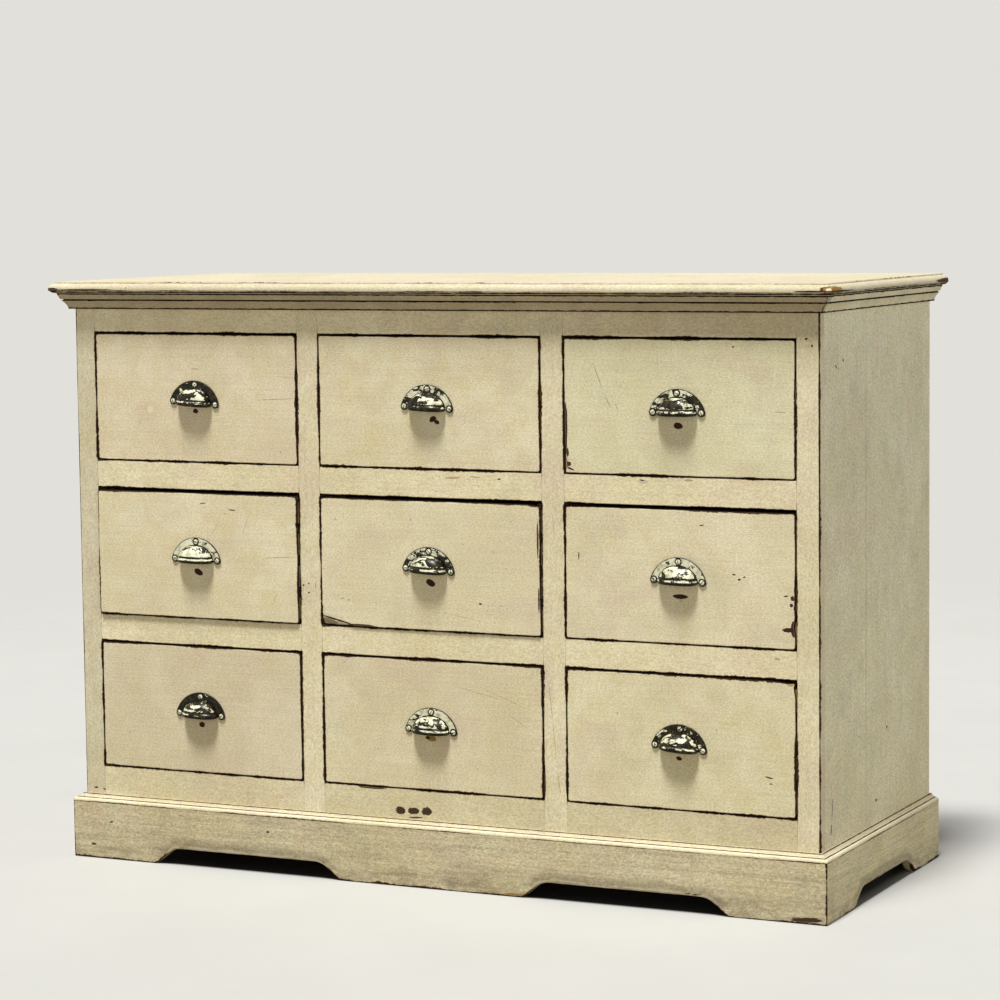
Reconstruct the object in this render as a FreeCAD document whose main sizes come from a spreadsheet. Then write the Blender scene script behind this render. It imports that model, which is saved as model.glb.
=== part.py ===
"""Painted pine bank of nine drawers: face-framed case, moulded top, shaped plinth and cup pulls.

Millimetres, +Z up, the drawers face -Y. The origin is on the floor, under the middle of the whole piece.
"""
import FreeCAD, Part
import math
import os
import Sketcher

V = FreeCAD.Vector
doc = FreeCAD.newDocument("BankOfDrawers")
sheet = doc.addObject("Spreadsheet::Sheet", "Sizes")

# Driving dimensions: one plain number and one word for each
DRIVING = [
    # the case and its face frame
    ("case_width", 1250), ("case_depth", 503), ("case_height", 905), ("panel_thickness", 20),
    ("frame_thickness", 20), ("outer_stile_width", 35), ("inner_stile_width", 36.5), ("centre_bay_width", 376),
    ("top_rail_height", 61.5), ("rail_height", 42.5), ("lowest_opening", 148), ("bottom_rail_height", 72.5),
    ("tenon_length", 12), ("tenon_thickness", 8), ("tenon_shoulder", 6), ("floor_clearance", 32),
    ("bottom_board_thickness", 12), ("housing_depth", 6), ("fit_clearance", 0.2), ("cut_overrun", 5),
    # the back
    ("back_board_thickness", 10), ("back_rebate_width", 10), ("back_board_count", 8),
    ("tongue_length", 4), ("tongue_thickness", 3.4), ("backing_rail_thickness", 18),
    # the top board and the moulding below it
    ("top_thickness", 18), ("top_overhang", 30.5), ("top_quirk", 2.5), ("top_ovolo_radius", 9),
    ("top_nose_height", 2.5), ("top_undercut_width", 7.5), ("top_undercut_lip", 1.5),
    ("bed_height", 25), ("bed_projection", 21), ("bed_band_step", 2), ("bed_groove_width", 1.2),
    ("bed_groove_depth", 2.6), ("bed_lower_band", 16), ("bed_foot_projection", 8), ("bed_foot_height", 2.2),
    # the plinth and its cap moulding
    ("plinth_height", 90), ("plinth_thickness", 16), ("cap_height", 12), ("cap_nose_height", 6),
    ("cap_nose_roundness", 2.2), ("cap_step", 2.4), ("cap_groove_height", 1), ("cap_fillet_projection", 4),
    ("cap_fillet_height", 1), ("gap_height", 26), ("gap_shoulder_run", 24), ("gap_shoulder_rise", 9),
    ("gap_toe_run", 6), ("gap_toe_rise", 3), ("gap_toe_radius", 15), ("corner_foot_length", 151),
    ("middle_foot_length", 307), ("side_foot_length", 121), ("back_foot_length", 115), ("glue_block_size", 40),
    # what the drawers run on
    ("runner_support", 15), ("guide_height", 25), ("stop_length", 25), ("stop_height", 18),
    # the drawers
    ("front_thickness", 20), ("front_rounding", 2), ("front_side_gap", 2), ("front_gap_below", 1.5),
    ("gap_above_top_row", 2.5), ("gap_above_middle_row", 5), ("gap_above_bottom_row", 2.5),
    ("proud_drawer", 1), ("proud_middle_left", 5), ("proud_middle_centre", 3), ("running_gap", 0.3),
    ("drawer_side_thickness", 12), ("drawer_side_drop", 5), ("drawer_back_thickness", 12),
    ("drawer_bottom_thickness", 6), ("bottom_groove_level", 12), ("bottom_groove_depth", 6),
    ("dovetail_lap", 5), ("dovetail_flare", 2.5), ("dovetail_count", 4),
    # the cup pulls and their screws
    ("pull_width", 88.5), ("pull_ear_radius", 6.2), ("pull_rise", 34.5), ("pull_flange_thickness", 2.6),
    ("cup_width", 59), ("cup_rise", 23), ("cup_projection", 21), ("cup_wall", 2.2), ("cup_rim_below", 1.5),
    ("cup_lip_overhang", 1.7), ("cup_lip_height", 7.5), ("pull_below_middle", 7.25), ("top_screw_rise", 28),
    ("screw_radius", 1.8), ("screw_length", 16), ("screw_head_radius", 4), ("screw_head_rise", 1.5),
    ("screw_slot_width", 1), ("screw_slot_depth", 0.8),
]

# Shares of the sizes that they follow
BED_GROOVE_SHARE = 0.6
BED_BAND_SHARE = 0.6
COVE_RADIUS_SHARE = 1.3
RAMP_RUN_SHARE = 1.25
TAIL_ROOT_SHARES = (0.22, 0.78)


class Size:
    """A length that knows its value in millimetres and the sheet expression that gives it."""

    def __init__(self, value, text):
        self.value = float(value)
        self.text = text

    def __add__(self, other):
        other = as_size(other)
        return Size(self.value + other.value, f"({self.text} + {other.text})")

    def __sub__(self, other):
        other = as_size(other)
        return Size(self.value - other.value, f"({self.text} - {other.text})")

    def __mul__(self, other):
        other = as_size(other)
        return Size(self.value * other.value, f"({self.text} * {other.text})")

    def __truediv__(self, other):
        other = as_size(other)
        return Size(self.value / other.value, f"({self.text} / {other.text})")

    def __neg__(self):
        return Size(-self.value, f"(0 - {self.text})")


def as_size(number):
    """Return a Size as it is, and a plain factor or zero as a Size of that number."""
    if isinstance(number, Size):
        return number
    return Size(number, f"{number:g}" if number >= 0 else f"({number:g})")


def root(size):
    """Square root of a Size."""
    return Size(math.sqrt(size.value), f"sqrt({size.text})")


def fill_sheet():
    """Write the driving dimensions into the sheet and return them as Sizes by name."""
    sizes = {}
    for row, (name, value) in enumerate(DRIVING, start=1):
        sheet.set(f"A{row}", name)
        sheet.set(f"B{row}", f"{value:g}")
        sheet.setAlias(f"B{row}", name)
        sizes[name] = Size(value, f"Sizes.{name}")
    doc.recompute()
    return sizes


S = fill_sheet()
ZERO = Size(0, "0")
overrun = S["cut_overrun"]

# Places that follow from the driving dimensions
half_width = S["case_width"] / 2
front_plane = (S["top_overhang"] - S["case_depth"]) / 2
back_plane = front_plane + S["case_depth"]
frame_back = front_plane + S["frame_thickness"]
back_boards_front = back_plane - S["back_board_thickness"]
side_bay_width = (S["case_width"] - S["outer_stile_width"] * 2 - S["inner_stile_width"] * 2
                  - S["centre_bay_width"]) / 2
opening_height = (S["case_height"] - S["lowest_opening"] - S["rail_height"] * 2 - S["top_rail_height"]) / 3
bottom_board_top = S["lowest_opening"] - S["rail_height"]
bottom_board_under = bottom_board_top - S["bottom_board_thickness"]

ROWS = ["bottom", "middle", "top"]
COLUMNS = ["left", "centre", "right"]


def opening_left(column):
    """X of the left edge of the openings in a column."""
    bays = [side_bay_width, S["centre_bay_width"], side_bay_width]
    place = S["outer_stile_width"] - half_width
    for index in range(column):
        place = place + bays[index] + S["inner_stile_width"]
    return place


def opening_width(column):
    """Width of the openings in a column."""
    return S["centre_bay_width"] if COLUMNS[column] == "centre" else side_bay_width


def opening_floor(row):
    """Z of the lower edge of the openings in a row, counted from the bottom."""
    return S["lowest_opening"] + (opening_height + S["rail_height"]) * row


# Helpers that bind objects to the sheet

def bind(item, name, size):
    """Tie one property of an object to a size."""
    item.setExpression(name, size.text)


def place_at(item, x, y, z, turn=0):
    """Place an object, its position tied to sizes, turned about Z by a fixed angle in degrees."""
    item.Placement = FreeCAD.Placement(V(x.value, y.value, z.value), FreeCAD.Rotation(V(0, 0, 1), turn))
    bind(item, "Placement.Base.x", x)
    bind(item, "Placement.Base.y", y)
    bind(item, "Placement.Base.z", z)


def block(name, x, y, z, length, depth, height):
    """Rectangular piece of wood with its low corner at x, y, z."""
    box = doc.addObject("Part::Box", name)
    bind(box, "Length", length)
    bind(box, "Width", depth)
    bind(box, "Height", height)
    place_at(box, x, y, z)
    return box


def group(name, pieces):
    """Several separate solids kept together under one name."""
    bundle = doc.addObject("Part::Compound", name)
    bundle.Links = pieces
    return bundle


def fused(name, pieces):
    """One solid made of several shapes."""
    joined = doc.addObject("Part::MultiFuse", name)
    joined.Shapes = pieces
    joined.Refine = True
    return joined


def cut(name, base, tool):
    """A piece with a joint, hole or groove cut to the shape of what sits in it."""
    result = doc.addObject("Part::Cut", name)
    result.Base = base
    result.Tool = tool
    return result


def new_body(name):
    return doc.addObject("PartDesign::Body", name)


def sketch_on(body, role, name, offset=None):
    """Sketch on one of the body's own origin planes, moved along its normal by a size."""
    sketch = body.newObject("Sketcher::SketchObject", name)
    plane = [item for item in body.Origin.OriginFeatures if item.Role == role][0]
    sketch.AttachmentSupport = [(plane, "")]
    sketch.MapMode = "FlatFace"
    if offset is not None:
        bind(sketch, "AttachmentOffset.Base.z", offset)
    return sketch


def arc_edge(start, end, radius, side):
    """Arc of under a half circle from start to end, its centre left (+1) or right (-1) of the way there."""
    middle = (start + end) * 0.5
    chord = end - start
    normal = V(-chord.y, chord.x, 0).normalize()
    height = math.sqrt(max(radius ** 2 - (chord.Length / 2) ** 2, 0))
    centre = middle + normal * (height * side)
    first, last = (start, end) if side > 0 else (end, start)
    from_angle = math.atan2(first.y - centre.y, first.x - centre.x)
    to_angle = math.atan2(last.y - centre.y, last.x - centre.x)
    return Part.ArcOfCircle(Part.Circle(centre, V(0, 0, 1), radius), from_angle, to_angle)


def draw(sketch, corners):
    """Closed outline through corners (x, y), or (x, y, radius, side) for an arc that ends there."""
    count = len(corners)
    points = [V(corner[0].value, corner[1].value, 0) for corner in corners]
    starts = []
    ends = []
    for index in range(count):
        target = corners[index]
        start = points[index - 1]
        if len(target) == 4:
            sketch.addGeometry(arc_edge(start, points[index], target[2].value, target[3]), False)
            forward = target[3] > 0
        else:
            sketch.addGeometry(Part.LineSegment(start, points[index]), False)
            forward = True
        starts.append((index, 1 if forward else 2))
        ends.append((index, 2 if forward else 1))
    for index in range(count):
        after = (index + 1) % count
        sketch.addConstraint(Sketcher.Constraint("Coincident", *ends[index], *starts[after]))
    for index, corner in enumerate(corners):
        for kind, size in (("DistanceX", corner[0]), ("DistanceY", corner[1])):
            number = sketch.addConstraint(Sketcher.Constraint(kind, -1, 1, *ends[index], size.value))
            bind(sketch, f"Constraints[{number}]", size)
        if len(corner) == 4:
            number = sketch.addConstraint(Sketcher.Constraint("Radius", index, corner[2].value))
            bind(sketch, f"Constraints[{number}]", corner[2])


def pad(body, sketch, length, name, midplane=False):
    feature = body.newObject("PartDesign::Pad", name)
    feature.Profile = sketch
    feature.Midplane = midplane
    bind(feature, "Length", length)
    return feature


def cut_through(body, sketch, name):
    """Pocket that goes right through the body on both sides of its sketch."""
    feature = body.newObject("PartDesign::Pocket", name)
    feature.Profile = sketch
    feature.Type = "ThroughAll"
    feature.Midplane = True
    return feature


def mitre(body, at, hand, depth, name):
    """Saw a board's end at 45 degrees: inner face at y 0, outer face at -depth, hand -1 left, +1 right."""
    far = depth + overrun
    sketch = sketch_on(body, "XY_Plane", f"{name}_sketch")
    draw(sketch, [(at - overrun * hand, overrun), (at + far * hand, -far), (at + far * hand, overrun)])
    cut_through(body, sketch, name)


def mirrored(corner):
    """Corner of an outline mirrored left to right, with its arc's centre on the other side."""
    if len(corner) == 2:
        return (-corner[0], corner[1])
    return (-corner[0], corner[1], corner[2], -corner[3])


def mitred_length(name, profile, inner_length, left_mitre, right_mitre, depth):
    """Moulding along X with its back at y 0: profile corners are (outward, height)."""
    body = new_body(name)
    start = -depth if left_mitre else ZERO
    run = inner_length + depth * (int(left_mitre) + int(right_mitre))
    sketch = sketch_on(body, "YZ_Plane", f"{name}_profile", start)
    draw(sketch, [mirrored(corner) for corner in profile])
    pad(body, sketch, run, f"{name}_run")
    if left_mitre:
        mitre(body, ZERO, -1, depth, f"{name}_left_mitre")
    if right_mitre:
        mitre(body, inner_length, 1, depth, f"{name}_right_mitre")
    return body


def wrap_round_case(pieces, level):
    """Place a front, a left and a right length against the case at a level."""
    front, left, right = pieces
    place_at(front, -half_width, front_plane, level)
    place_at(left, -half_width, back_plane, level, turn=-90)
    place_at(right, half_width, front_plane, level, turn=90)


# The case

def side_panel(hand, bottom_board):
    """Side board with a rebate for the back boards and a housing for the bottom board."""
    name = "side_panel_left" if hand < 0 else "side_panel_right"
    body = new_body(f"{name}_board")
    sketch = sketch_on(body, "XY_Plane", f"{name}_section")
    outer = half_width * hand
    inner = outer - S["panel_thickness"] * hand
    rebate = outer - (S["panel_thickness"] - S["back_rebate_width"]) * hand
    draw(sketch, [(outer, frame_back), (outer, back_plane), (rebate, back_plane),
                  (rebate, back_boards_front), (inner, back_boards_front), (inner, frame_back)])
    pad(body, sketch, S["case_height"] - S["floor_clearance"], f"{name}_length")
    place_at(body, ZERO, ZERO, S["floor_clearance"])
    return cut(name, body, bottom_board)


def bottom_board():
    """Floor of the case, let into both side panels."""
    length = S["case_width"] - (S["panel_thickness"] - S["housing_depth"]) * 2
    return block("bottom_board", -length / 2, frame_back, bottom_board_under,
                 length, back_boards_front - frame_back, S["bottom_board_thickness"])


def partition(column):
    """Upright board behind an inner stile, between the column and the next one."""
    stile_left = opening_left(column) + opening_width(column)
    left = stile_left + (S["inner_stile_width"] - S["panel_thickness"]) / 2
    name = "partition_left" if column == 0 else "partition_right"
    return block(name, left, frame_back, bottom_board_top, S["panel_thickness"],
                 back_boards_front - frame_back, S["case_height"] - bottom_board_top)


def rail(name, column, level, height):
    """Frame rail across one bay with a stub tenon at each end."""
    left = opening_left(column)
    width = opening_width(column)
    board = block(f"{name}_board", left, front_plane, level, width, S["frame_thickness"], height)
    tenon = block(f"{name}_tenon", left - S["tenon_length"],
                  front_plane + (S["frame_thickness"] - S["tenon_thickness"]) / 2,
                  level + S["tenon_shoulder"], width + S["tenon_length"] * 2, S["tenon_thickness"],
                  height - S["tenon_shoulder"] * 2)
    return fused(name, [board, tenon])


def rails():
    """Top, middle and bottom rails of the three bays, as three groups."""
    top = [rail(f"top_rail_{COLUMNS[column]}", column, S["case_height"] - S["top_rail_height"],
                S["top_rail_height"]) for column in range(3)]
    middle = [rail(f"middle_rail_{ROWS[row]}_{COLUMNS[column]}", column, opening_floor(row)
                   - S["rail_height"], S["rail_height"]) for row in (1, 2) for column in range(3)]
    bottom = [rail(f"bottom_rail_{COLUMNS[column]}", column, S["lowest_opening"] - S["bottom_rail_height"],
                   S["bottom_rail_height"]) for column in range(3)]
    return group("top_rails", top), group("middle_rails", middle), group("bottom_rails", bottom)


def stiles(all_rails):
    """Outer and inner stiles with mortises for the tenons of the rails."""
    outer = []
    for side, left in (("left", -half_width), ("right", half_width - S["outer_stile_width"])):
        post = block(f"outer_stile_{side}_post", left, front_plane, S["floor_clearance"],
                     S["outer_stile_width"], S["frame_thickness"], S["case_height"] - S["floor_clearance"])
        outer.append(cut(f"outer_stile_{side}", post, all_rails))
    inner = []
    foot = S["lowest_opening"] - S["bottom_rail_height"]
    for column in (0, 1):
        left = opening_left(column) + opening_width(column)
        post = block(f"inner_stile_{column}_post", left, front_plane, foot, S["inner_stile_width"],
                     S["frame_thickness"], S["case_height"] - foot)
        inner.append(cut(f"inner_stile_{column}", post, all_rails))
    return group("outer_stiles", outer), group("inner_stiles", inner)


def back_boards():
    """Vertical boards between the rebates, each with a tongue in the next board's groove."""
    count = int(S["back_board_count"].value)
    span = S["case_width"] - (S["panel_thickness"] - S["back_rebate_width"]) * 2
    width = span / S["back_board_count"]
    thickness = S["back_board_thickness"]
    low = (thickness - S["tongue_thickness"]) / 2
    high = thickness - low
    groove_low = low - S["fit_clearance"]
    groove_high = high + S["fit_clearance"]
    groove_end = S["tongue_length"] + S["fit_clearance"]
    boards = []
    for index in range(count):
        body = new_body(f"back_board_{index + 1}")
        section = sketch_on(body, "XY_Plane", f"back_board_{index + 1}_section")
        corners = [(ZERO, ZERO), (width, ZERO)]
        if index < count - 1:
            corners += [(width, low), (width + S["tongue_length"], low), (width + S["tongue_length"], high),
                        (width, high)]
        corners += [(width, thickness), (ZERO, thickness)]
        if index > 0:
            corners += [(ZERO, groove_high), (groove_end, groove_high), (groove_end, groove_low),
                        (ZERO, groove_low)]
        draw(section, corners)
        pad(body, section, S["case_height"] - S["floor_clearance"], f"back_board_{index + 1}_length")
        place_at(body, -span / 2 + width * index, back_boards_front, S["floor_clearance"])
        boards.append(body)
    return group("back_boards", boards)


def inner_wall(column, hand):
    """X of the panel or partition face beside a bay, hand -1 for its left side and +1 for its right."""
    left = opening_left(column)
    right = left + opening_width(column)
    outer_step = S["outer_stile_width"] - S["panel_thickness"]
    inner_step = (S["inner_stile_width"] - S["panel_thickness"]) / 2
    if hand < 0:
        return left - (outer_step if column == 0 else inner_step)
    return right + (outer_step if column == 2 else inner_step)


def strip(name, column, hand, y, z, reach, depth, height):
    """Strip beside a bay, from the wall to a distance past the edge of the opening."""
    wall = inner_wall(column, hand)
    edge = opening_left(column) if hand < 0 else opening_left(column) + opening_width(column)
    inner_end = edge - reach * hand
    low = wall if hand < 0 else inner_end
    length = (inner_end - wall) * (-hand)
    return block(name, low, y, z, length, depth, height)


def each_side():
    """Every bay side as column, hand and a name."""
    return [(column, hand, f"{COLUMNS[column]}_{'left' if hand < 0 else 'right'}")
            for column in range(3) for hand in (-1, 1)]


def running_parts():
    """Runners, kickers, guides and stops of all drawers, as four groups."""
    depth = back_boards_front - frame_back
    runners = []
    guides = []
    stops = []
    for row in range(3):
        floor = opening_floor(row)
        for column, hand, side in each_side():
            label = f"{ROWS[row]}_{side}"
            runners.append(strip(f"runner_{label}", column, hand, frame_back, floor - S["rail_height"],
                                 S["runner_support"], depth, S["rail_height"]))
            guides.append(strip(f"guide_{label}", column, hand, frame_back, floor, ZERO, depth,
                                S["guide_height"]))
            stops.append(drawer_stop(f"stop_{label}", column, hand, floor))
    kickers = [strip(f"kicker_{side}", column, hand, frame_back, S["case_height"] - S["top_rail_height"],
                     S["runner_support"], depth - S["backing_rail_thickness"], S["top_rail_height"])
               for column, hand, side in each_side()]
    return (group("drawer_runners", runners), group("top_kickers", kickers),
            group("drawer_guides", guides), group("drawer_stops", stops))


def drawer_stop(name, column, hand, floor):
    """Block on the runner that the end of a drawer side meets."""
    edge = opening_left(column) if hand < 0 else opening_left(column) + opening_width(column)
    low = edge if hand < 0 else edge - S["runner_support"]
    return block(name, low, back_boards_front - S["stop_length"], floor, S["runner_support"],
                 S["stop_length"], S["stop_height"])


def backing_rails():
    """Rails under the back edge of the top, one across each bay."""
    pieces = []
    for column in range(3):
        left = inner_wall(column, -1)
        pieces.append(block(f"backing_rail_{COLUMNS[column]}", left,
                            back_boards_front - S["backing_rail_thickness"],
                            S["case_height"] - S["top_rail_height"], inner_wall(column, 1) - left,
                            S["backing_rail_thickness"], S["top_rail_height"]))
    return group("backing_rails", pieces)


def glue_blocks():
    """Blocks in the plinth corners and behind the middle foot, from the floor to the bottom board."""
    size = S["glue_block_size"]
    inner = half_width - S["panel_thickness"]
    places = []
    for hand in (-1, 1):
        low = -inner if hand < 0 else inner - size
        places.append((low, frame_back))
        places.append((low, back_boards_front - size))
    places.append((-size / 2, frame_back))
    return group("glue_blocks", [block(f"glue_block_{number}", x, y, ZERO, size, size, bottom_board_under)
                                 for number, (x, y) in enumerate(places, start=1)])


# The top, the mouldings and the plinth

def edge_corners(edge, hand):
    """Corners of the moulded edge of the top from its upper arris down, edge x along hand."""
    nose = edge + S["top_overhang"] * hand
    ovolo_start = nose - S["top_ovolo_radius"] * hand
    quirk_level = S["top_thickness"] - S["top_quirk"]
    nose_top = quirk_level - S["top_ovolo_radius"]
    nose_bottom = nose_top - S["top_nose_height"]
    lip = nose - S["top_undercut_lip"] * hand
    undercut_radius = (S["top_undercut_width"] * S["top_undercut_width"] + nose_bottom * nose_bottom) \
        / (nose_bottom * 2)
    return [(ovolo_start, S["top_thickness"]), (ovolo_start, quirk_level),
            (nose, nose_top, S["top_ovolo_radius"], -hand), (nose, nose_bottom), (lip, nose_bottom),
            (lip - S["top_undercut_width"] * hand, ZERO, undercut_radius, hand)]


def top_board():
    """Board moulded along the front and across both ends, which leaves mitred corners in the moulding."""
    across = new_body("top_board_front_edge")
    sketch = sketch_on(across, "YZ_Plane", "top_board_front_profile")
    front = edge_corners(front_plane, -1)
    draw(sketch, front + [(back_plane, ZERO), (back_plane, S["top_thickness"])])
    pad(across, sketch, S["case_width"] + (S["top_overhang"] + overrun) * 2, "top_board_width", True)
    along = new_body("top_board_end_edges")
    sketch = sketch_on(along, "XZ_Plane", "top_board_end_profile")
    right = edge_corners(half_width, 1)
    left = []
    for index, corner in enumerate(reversed(right)):
        after = right[len(right) - index] if index > 0 else ()
        left.append((-corner[0], corner[1]) + ((after[2], after[3]) if len(after) == 4 else ()))
    draw(sketch, right + left)
    pad(along, sketch, (S["case_depth"] + S["top_overhang"] + overrun) * 2, "top_board_depth", True)
    for body in (across, along):
        place_at(body, ZERO, ZERO, S["case_height"])
    board = doc.addObject("Part::MultiCommon", "top_board")
    board.Shapes = [across, along]
    return board


def bed_profile():
    """Section of the moulding under the top: two bands, a groove between them and a cove below."""
    top = S["bed_height"]
    groove_low = top * BED_GROOVE_SHARE
    groove_high = groove_low + S["bed_groove_width"]
    band_under = groove_low - (top - groove_high) * BED_BAND_SHARE
    upper_band = S["bed_projection"] - S["bed_band_step"]
    lower_band = S["bed_lower_band"] + S["bed_band_step"] / 2
    groove_end = lower_band - S["bed_groove_depth"]
    foot = S["bed_foot_projection"]
    foot_height = S["bed_foot_height"]
    cove_rise = band_under - foot_height
    cove_run = S["bed_lower_band"] - foot
    cove_radius = (cove_rise * cove_rise + cove_run * cove_run) / (cove_rise * 2)
    return [(ZERO, ZERO), (foot, ZERO), (foot, foot_height),
            (S["bed_lower_band"], band_under, cove_radius, -1), (lower_band, groove_low),
            (groove_end, groove_low), (groove_end, groove_high), (upper_band, groove_high),
            (S["bed_projection"], top - S["bed_band_step"]), (S["bed_projection"], top), (ZERO, top)]


def bed_moulding():
    """Moulding between the top and the case, mitred at the front corners."""
    depth = S["bed_projection"]
    pieces = [mitred_length("bed_moulding_front", bed_profile(), S["case_width"], True, True, depth),
              mitred_length("bed_moulding_left", bed_profile(), S["case_depth"], False, True, depth),
              mitred_length("bed_moulding_right", bed_profile(), S["case_depth"], True, False, depth)]
    wrap_round_case(pieces, S["case_height"] - S["bed_height"])
    return group("bed_moulding", pieces)


def cap_profile():
    """Section of the plinth cap: round nose, a small step, a cove and a thin fillet at the case."""
    nose = S["plinth_thickness"]
    round_off = S["cap_nose_roundness"]
    nose_height = S["cap_nose_height"]
    step = nose - S["cap_step"]
    cove_foot = nose_height + S["cap_groove_height"]
    fillet_level = S["cap_height"] - S["cap_fillet_height"]
    cove_run = step - S["cap_fillet_projection"]
    cove_rise = fillet_level - cove_foot
    cove_radius = (cove_run * cove_run + cove_rise * cove_rise) / (cove_run * 2)
    return [(ZERO, ZERO), (nose - round_off, ZERO), (nose, round_off, round_off, 1),
            (nose, nose_height - round_off), (nose - round_off, nose_height, round_off, 1),
            (step, nose_height), (step, cove_foot),
            (S["cap_fillet_projection"], fillet_level, cove_radius * COVE_RADIUS_SHARE, -1),
            (S["cap_fillet_projection"], S["cap_height"]), (ZERO, S["cap_height"])]


def plinth_cap():
    """Moulding on top of the plinth boards, mitred at the front corners."""
    depth = S["plinth_thickness"]
    pieces = [mitred_length("plinth_cap_front", cap_profile(), S["case_width"], True, True, depth),
              mitred_length("plinth_cap_left", cap_profile(), S["case_depth"], False, True, depth),
              mitred_length("plinth_cap_right", cap_profile(), S["case_depth"], True, False, depth)]
    wrap_round_case(pieces, S["plinth_height"])
    return group("plinth_cap", pieces)


def gap_outline(start, length):
    """Corners of a shaped gap in the lower edge, from its left end at the floor to its right end."""
    shoulder_foot = S["gap_height"] - S["gap_shoulder_rise"]
    ramp = (S["gap_shoulder_run"] * S["gap_shoulder_run"] + S["gap_shoulder_rise"]
            * S["gap_shoulder_rise"]) / (S["gap_shoulder_rise"] * 2)
    ramp_run = S["gap_toe_run"] + (shoulder_foot - S["gap_toe_rise"]) * RAMP_RUN_SHARE
    flat_start = ramp_run + S["gap_shoulder_run"]
    end = start + length
    return [(start, ZERO), (start + S["gap_toe_run"], S["gap_toe_rise"], S["gap_toe_radius"], 1),
            (start + ramp_run, shoulder_foot), (start + flat_start, S["gap_height"], ramp, -1),
            (end - flat_start, S["gap_height"]), (end - ramp_run, shoulder_foot, ramp, -1),
            (end - S["gap_toe_run"], S["gap_toe_rise"]), (end, ZERO, S["gap_toe_radius"], 1)]


def plinth_board(name, inner_length, gaps, left_mitre, right_mitre):
    """Plinth board with shaped gaps, its back at y 0, mitred at the chosen ends."""
    body = new_body(name)
    thickness = S["plinth_thickness"]
    left = -thickness if left_mitre else ZERO
    right = inner_length + thickness if right_mitre else inner_length
    corners = [(left, ZERO)]
    for start, length in gaps:
        corners += gap_outline(start, length)
    corners += [(right, ZERO), (right, S["plinth_height"]), (left, S["plinth_height"])]
    sketch = sketch_on(body, "XZ_Plane", f"{name}_outline")
    draw(sketch, corners)
    pad(body, sketch, thickness, f"{name}_thickness")
    if left_mitre:
        mitre(body, ZERO, -1, thickness, f"{name}_left_mitre")
    if right_mitre:
        mitre(body, inner_length, 1, thickness, f"{name}_right_mitre")
    return body


def plinth():
    """Front, left and right plinth boards."""
    thickness = S["plinth_thickness"]
    front_start = S["corner_foot_length"] - thickness
    front_gap = half_width - S["middle_foot_length"] / 2 - front_start
    side_start = S["side_foot_length"] - thickness
    side_gap = S["case_depth"] - side_start - S["back_foot_length"]
    front = plinth_board("plinth_front", S["case_width"],
                         [(front_start, front_gap), (half_width + S["middle_foot_length"] / 2, front_gap)],
                         True, True)
    left = plinth_board("plinth_left", S["case_depth"], [(S["back_foot_length"], side_gap)], False, True)
    right = plinth_board("plinth_right", S["case_depth"], [(side_start, side_gap)], True, False)
    wrap_round_case([front, left, right], ZERO)
    return [front, left, right]


# The drawers

def side_outline(depth, height):
    """Drawer side seen along X: dovetails at the front, straight at the back."""
    tail = S["front_thickness"] - S["dovetail_lap"]
    pitch = height / S["dovetail_count"]
    corners = [(tail, ZERO), (depth, ZERO), (depth, height), (tail, height)]
    for index in reversed(range(int(S["dovetail_count"].value))):
        root_low = pitch * (index + TAIL_ROOT_SHARES[0])
        root_high = pitch * (index + TAIL_ROOT_SHARES[1])
        corners += [(tail, root_high), (ZERO, root_high + S["dovetail_flare"]),
                    (ZERO, root_low - S["dovetail_flare"]), (tail, root_low)]
    return corners


def drawer_side(name, x, y, z, depth, height, bottom):
    """Drawer side with tails and a groove for the bottom."""
    body = new_body(f"{name}_board")
    sketch = sketch_on(body, "YZ_Plane", f"{name}_outline")
    draw(sketch, side_outline(depth, height))
    pad(body, sketch, S["drawer_side_thickness"], f"{name}_thickness")
    place_at(body, x, y, z)
    return cut(name, body, bottom)


def drawer_front_blank(name, x, y, z, width, height):
    """Drawer front with softened front edges, before its joints are cut."""
    body = new_body(name)
    sketch = sketch_on(body, "XZ_Plane", f"{name}_face")
    draw(sketch, [(ZERO, ZERO), (width, ZERO), (width, height), (ZERO, height)])
    board = pad(body, sketch, S["front_thickness"], f"{name}_thickness")
    doc.recompute()
    front_face = max(range(len(board.Shape.Faces)), key=lambda i: -board.Shape.Faces[i].CenterOfMass.y)
    rounding = body.newObject("PartDesign::Fillet", f"{name}_rounding")
    rounding.Base = (board, [f"Face{front_face + 1}"])
    bind(rounding, "Radius", S["front_rounding"])
    place_at(body, x, y + S["front_thickness"], z)
    return body


def screw_places():
    """Screw centres on a pull: both ears and the crown, as x and z from the middle of the ears."""
    ear = S["pull_width"] / 2 - S["pull_ear_radius"]
    return [(-ear, ZERO), (ear, ZERO), (ZERO, S["top_screw_rise"])]


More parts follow.
